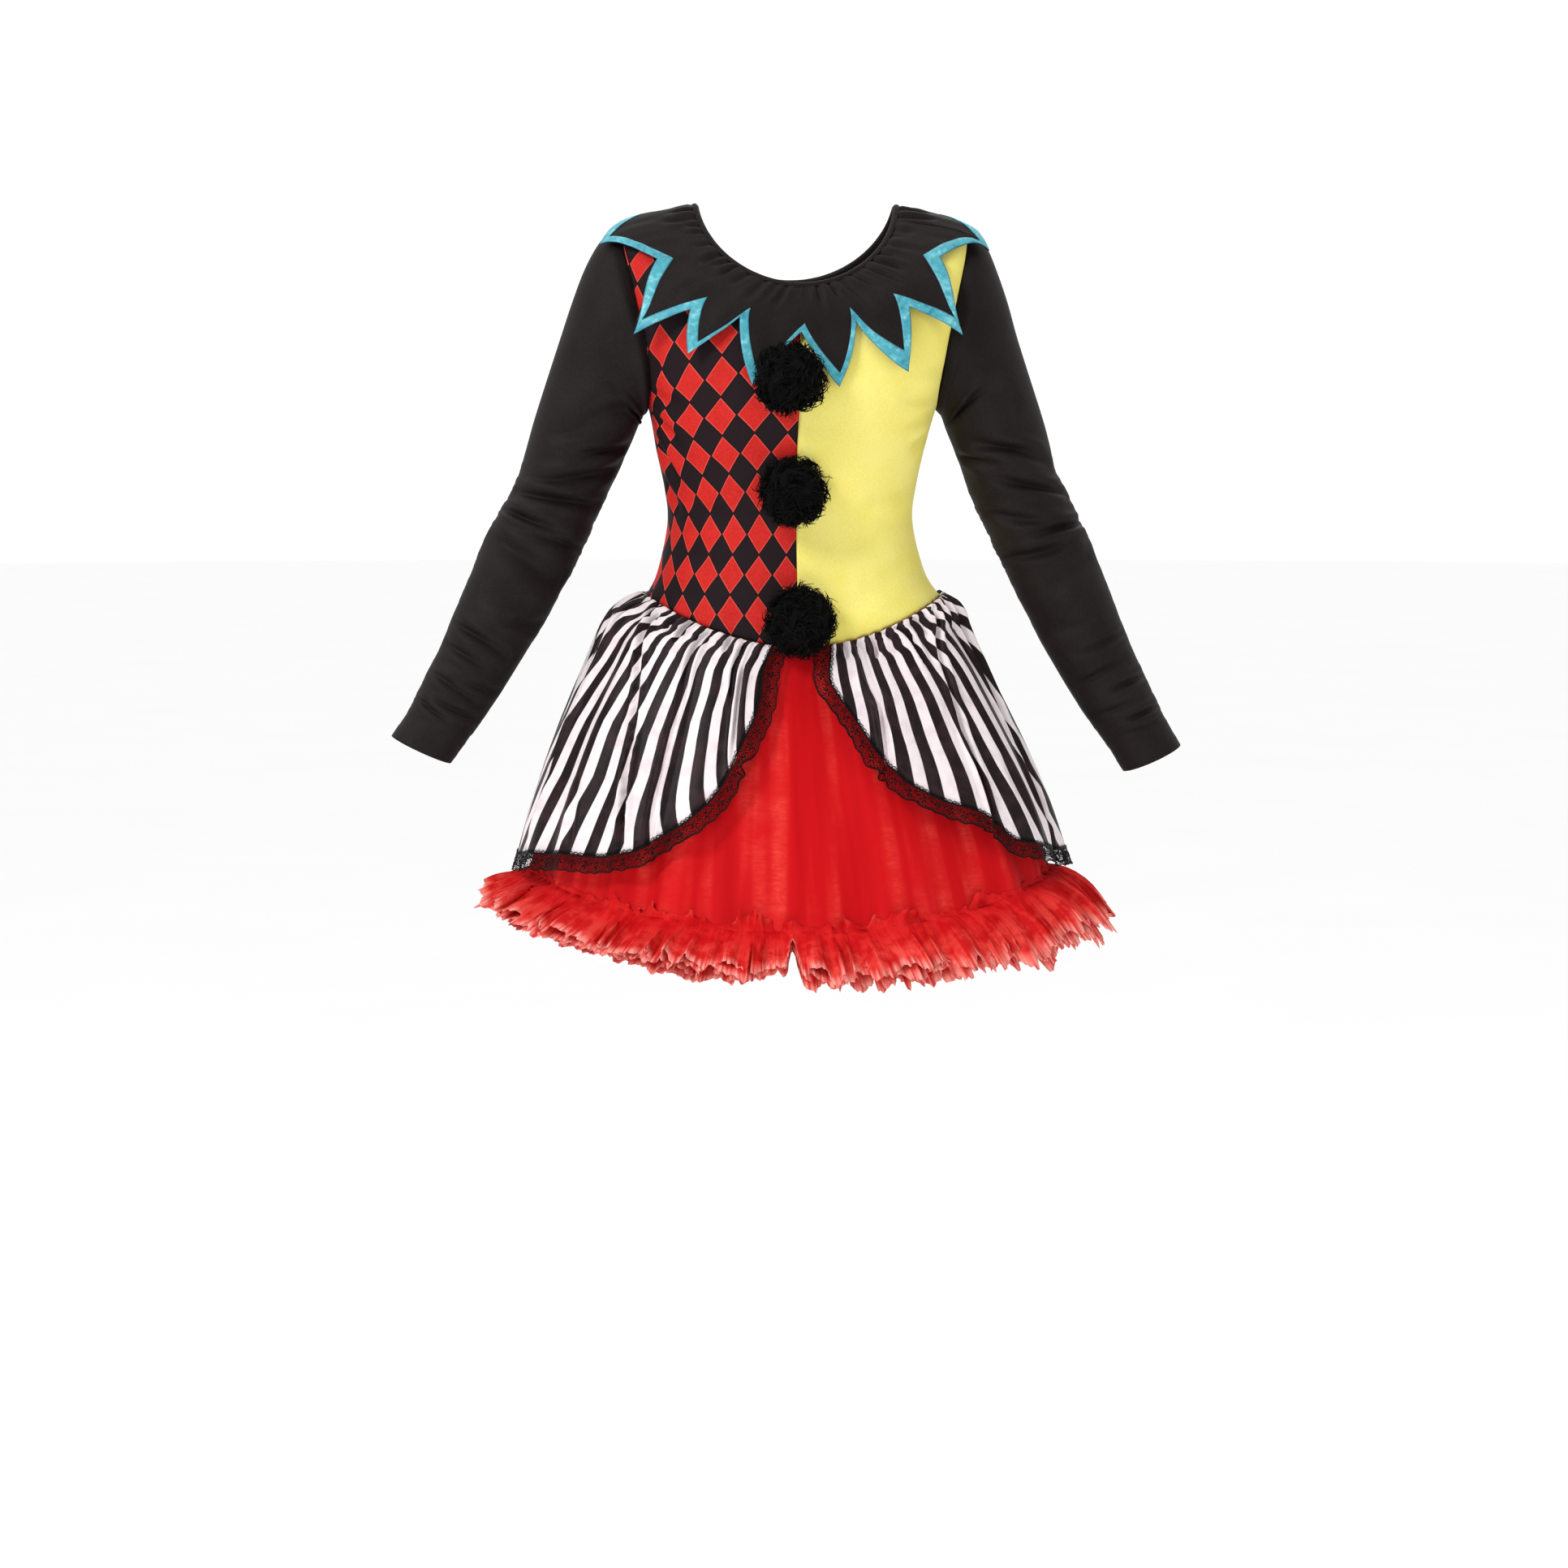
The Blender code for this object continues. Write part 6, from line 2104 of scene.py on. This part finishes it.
@dataclass
class Studio:
    """Pale floor, bright backdrop light, soft boxes and the camera."""

    floor_height: float = -1.95
    floor_radius: float = 40.0
    lens: float = 74.53
    camera_place: tuple[float, float, float] = (-0.2511, -3.5912, -0.25)
    heading: float = -4.0  # degrees, from looking along +Y
    tilt: float = -3.005
    shift: tuple[float, float] = (-0.0062, -0.1155)
    boxes: tuple = (
        Softbox("key_light", (-2.4, -2.3, 1.9), 1.1, 88.0),
        Softbox("fill_light", (2.4, -2.6, 0.2), 2.2, 16.0),
        Softbox("low_light", (-0.3, -2.4, -1.7), 1.6, 17.0, aim=(0.0, 0.0, -0.82)),
        Softbox("back_light", (0.6, 2.6, 1.6), 2.0, 20.0),
    )

    def floor(self) -> None:
        """A pale disc under the dress: rings of points out to its rim."""
        turn = np.arange(96) * TURN / 96
        radius = np.array([0.001, 0.5, 1, 2, 4, 8, 14])[::-1][:, None] / 14 * self.floor_radius
        x, y = radius * np.cos(turn), radius * np.sin(turn)
        points = np.stack(np.broadcast_arrays(x, y, self.floor_height), -1)
        finish = Finish("pale_floor_painted", 0.85, specular=0.1)
        paint, add = finish.start()
        share = add("TexNoise", grain(add("TexCoord", out="Object"), 0.6))
        colour = add("Mix", {0: share, 6: linear("#fafafa"), 7: linear("#f7f7f7")}, 2, **RGBA)
        maker = Maker().grid(points / MILLIMETRE, np.zeros((7, 97, 2)), closed=True)
        maker.finish("floor", finish.end(paint, colour))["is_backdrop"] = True

    def world(self) -> None:
        """Light from all round: white behind the dress, dimmer before it and brightest above.

        strength = a ramp on the direction's y, and a second ramp on its z.
        """
        world = bpy.data.worlds.new("studio")
        bpy.context.scene.world = world
        world.use_nodes = True
        add = partial(add_node, world.node_tree)
        away = add("SeparateXYZ", (add("TexCoord", out="Generated"),), 1)
        behind = add("MapRange", (away, -0.5, 0.35, 0.24, 1.06), **SOFT)
        above = add("MapRange", (away.node.outputs[2], 0.35, 0.8, 0.0, 0.5), **SOFT)
        background = world.node_tree.nodes["Background"]
        background.inputs["Color"].default_value = linear("#ffffff")
        strength = add("Math", (behind, above), **PLUS)
        world.node_tree.links.new(strength, background.inputs["Strength"])

    def camera(self) -> None:
        """A level-sided long lens before the dress, a little to its right."""
        data = bpy.data.cameras.new("camera")
        data.sensor_width, data.lens = 36.0, self.lens
        data.shift_x, data.shift_y = self.shift
        camera = bpy.data.objects.new("camera", data)
        bpy.context.scene.collection.objects.link(camera)
        heading, tilt = math.radians(self.heading), math.radians(self.tilt)
        level = math.cos(tilt)
        way = (-math.sin(heading) * level, math.cos(heading) * level, math.sin(tilt))
        aim = tuple(a + b for a, b in zip(self.camera_place, way))
        turn_to(camera, self.camera_place, aim)
        bpy.context.scene.camera = camera

    def build(self) -> None:
        """Everything that isn't the dress."""
        bpy.context.scene.view_settings.view_transform = "Standard"
        self.floor()
        self.world()
        for box in self.boxes:
            box.build()
        self.camera()


# ---- the dress ----
def write_sizes() -> None:
    """Logs the boxes of the solids and of the dressed part side by side."""
    boxes = {"cad": CAD_BOX, "visual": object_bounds()}
    boxes = {name: [list(corner) for corner in box] for name, box in boxes.items()}
    LOG.info("boxes: %s", boxes)


def main() -> None:
    """Builds the dress piece by piece, then the studio."""
    logging.basicConfig(level=logging.INFO, format="%(message)s")
    yellow, diamonds = Finishes.YELLOW_JERSEY, Finishes.DIAMOND_JERSEY
    for name, side, front, finish, creases, *grid in (
        ("front_left", Side.LEFT, True, yellow, FRONT_LEFT_CREASES),
        ("front_right", Side.RIGHT, True, diamonds, FRONT_RIGHT_CREASES),
        ("back_left", Side.LEFT, False, yellow, BACK_LEFT_CREASES, 66, 44),
        ("back_right", Side.RIGHT, False, diamonds, BACK_RIGHT_CREASES, 66, 44),
    ):
        BodicePanel(f"bodice_{name}", side, front, finish, creases, *grid).build()
    Sleeve("sleeve_left", Side.LEFT, LEFT_SLEEVE, LEFT_SLEEVE_CREASES).build()
    Sleeve("sleeve_right", Side.RIGHT, RIGHT_SLEEVE, RIGHT_SLEEVE_CREASES).build()
    Collar().build()
    Peplum().build()
    Skirt().build()
    Pompom("pompom_top", -194, -9, 0.0, 40, 3).build()
    Pompom("pompom_middle", -310, -4, 0.5, 39, 8).build()
    Pompom("pompom_bottom", -456, 0, 0.7, 40, 14).build()
    Studio().build()
    write_sizes()


if __name__ == "__main__":
    main()
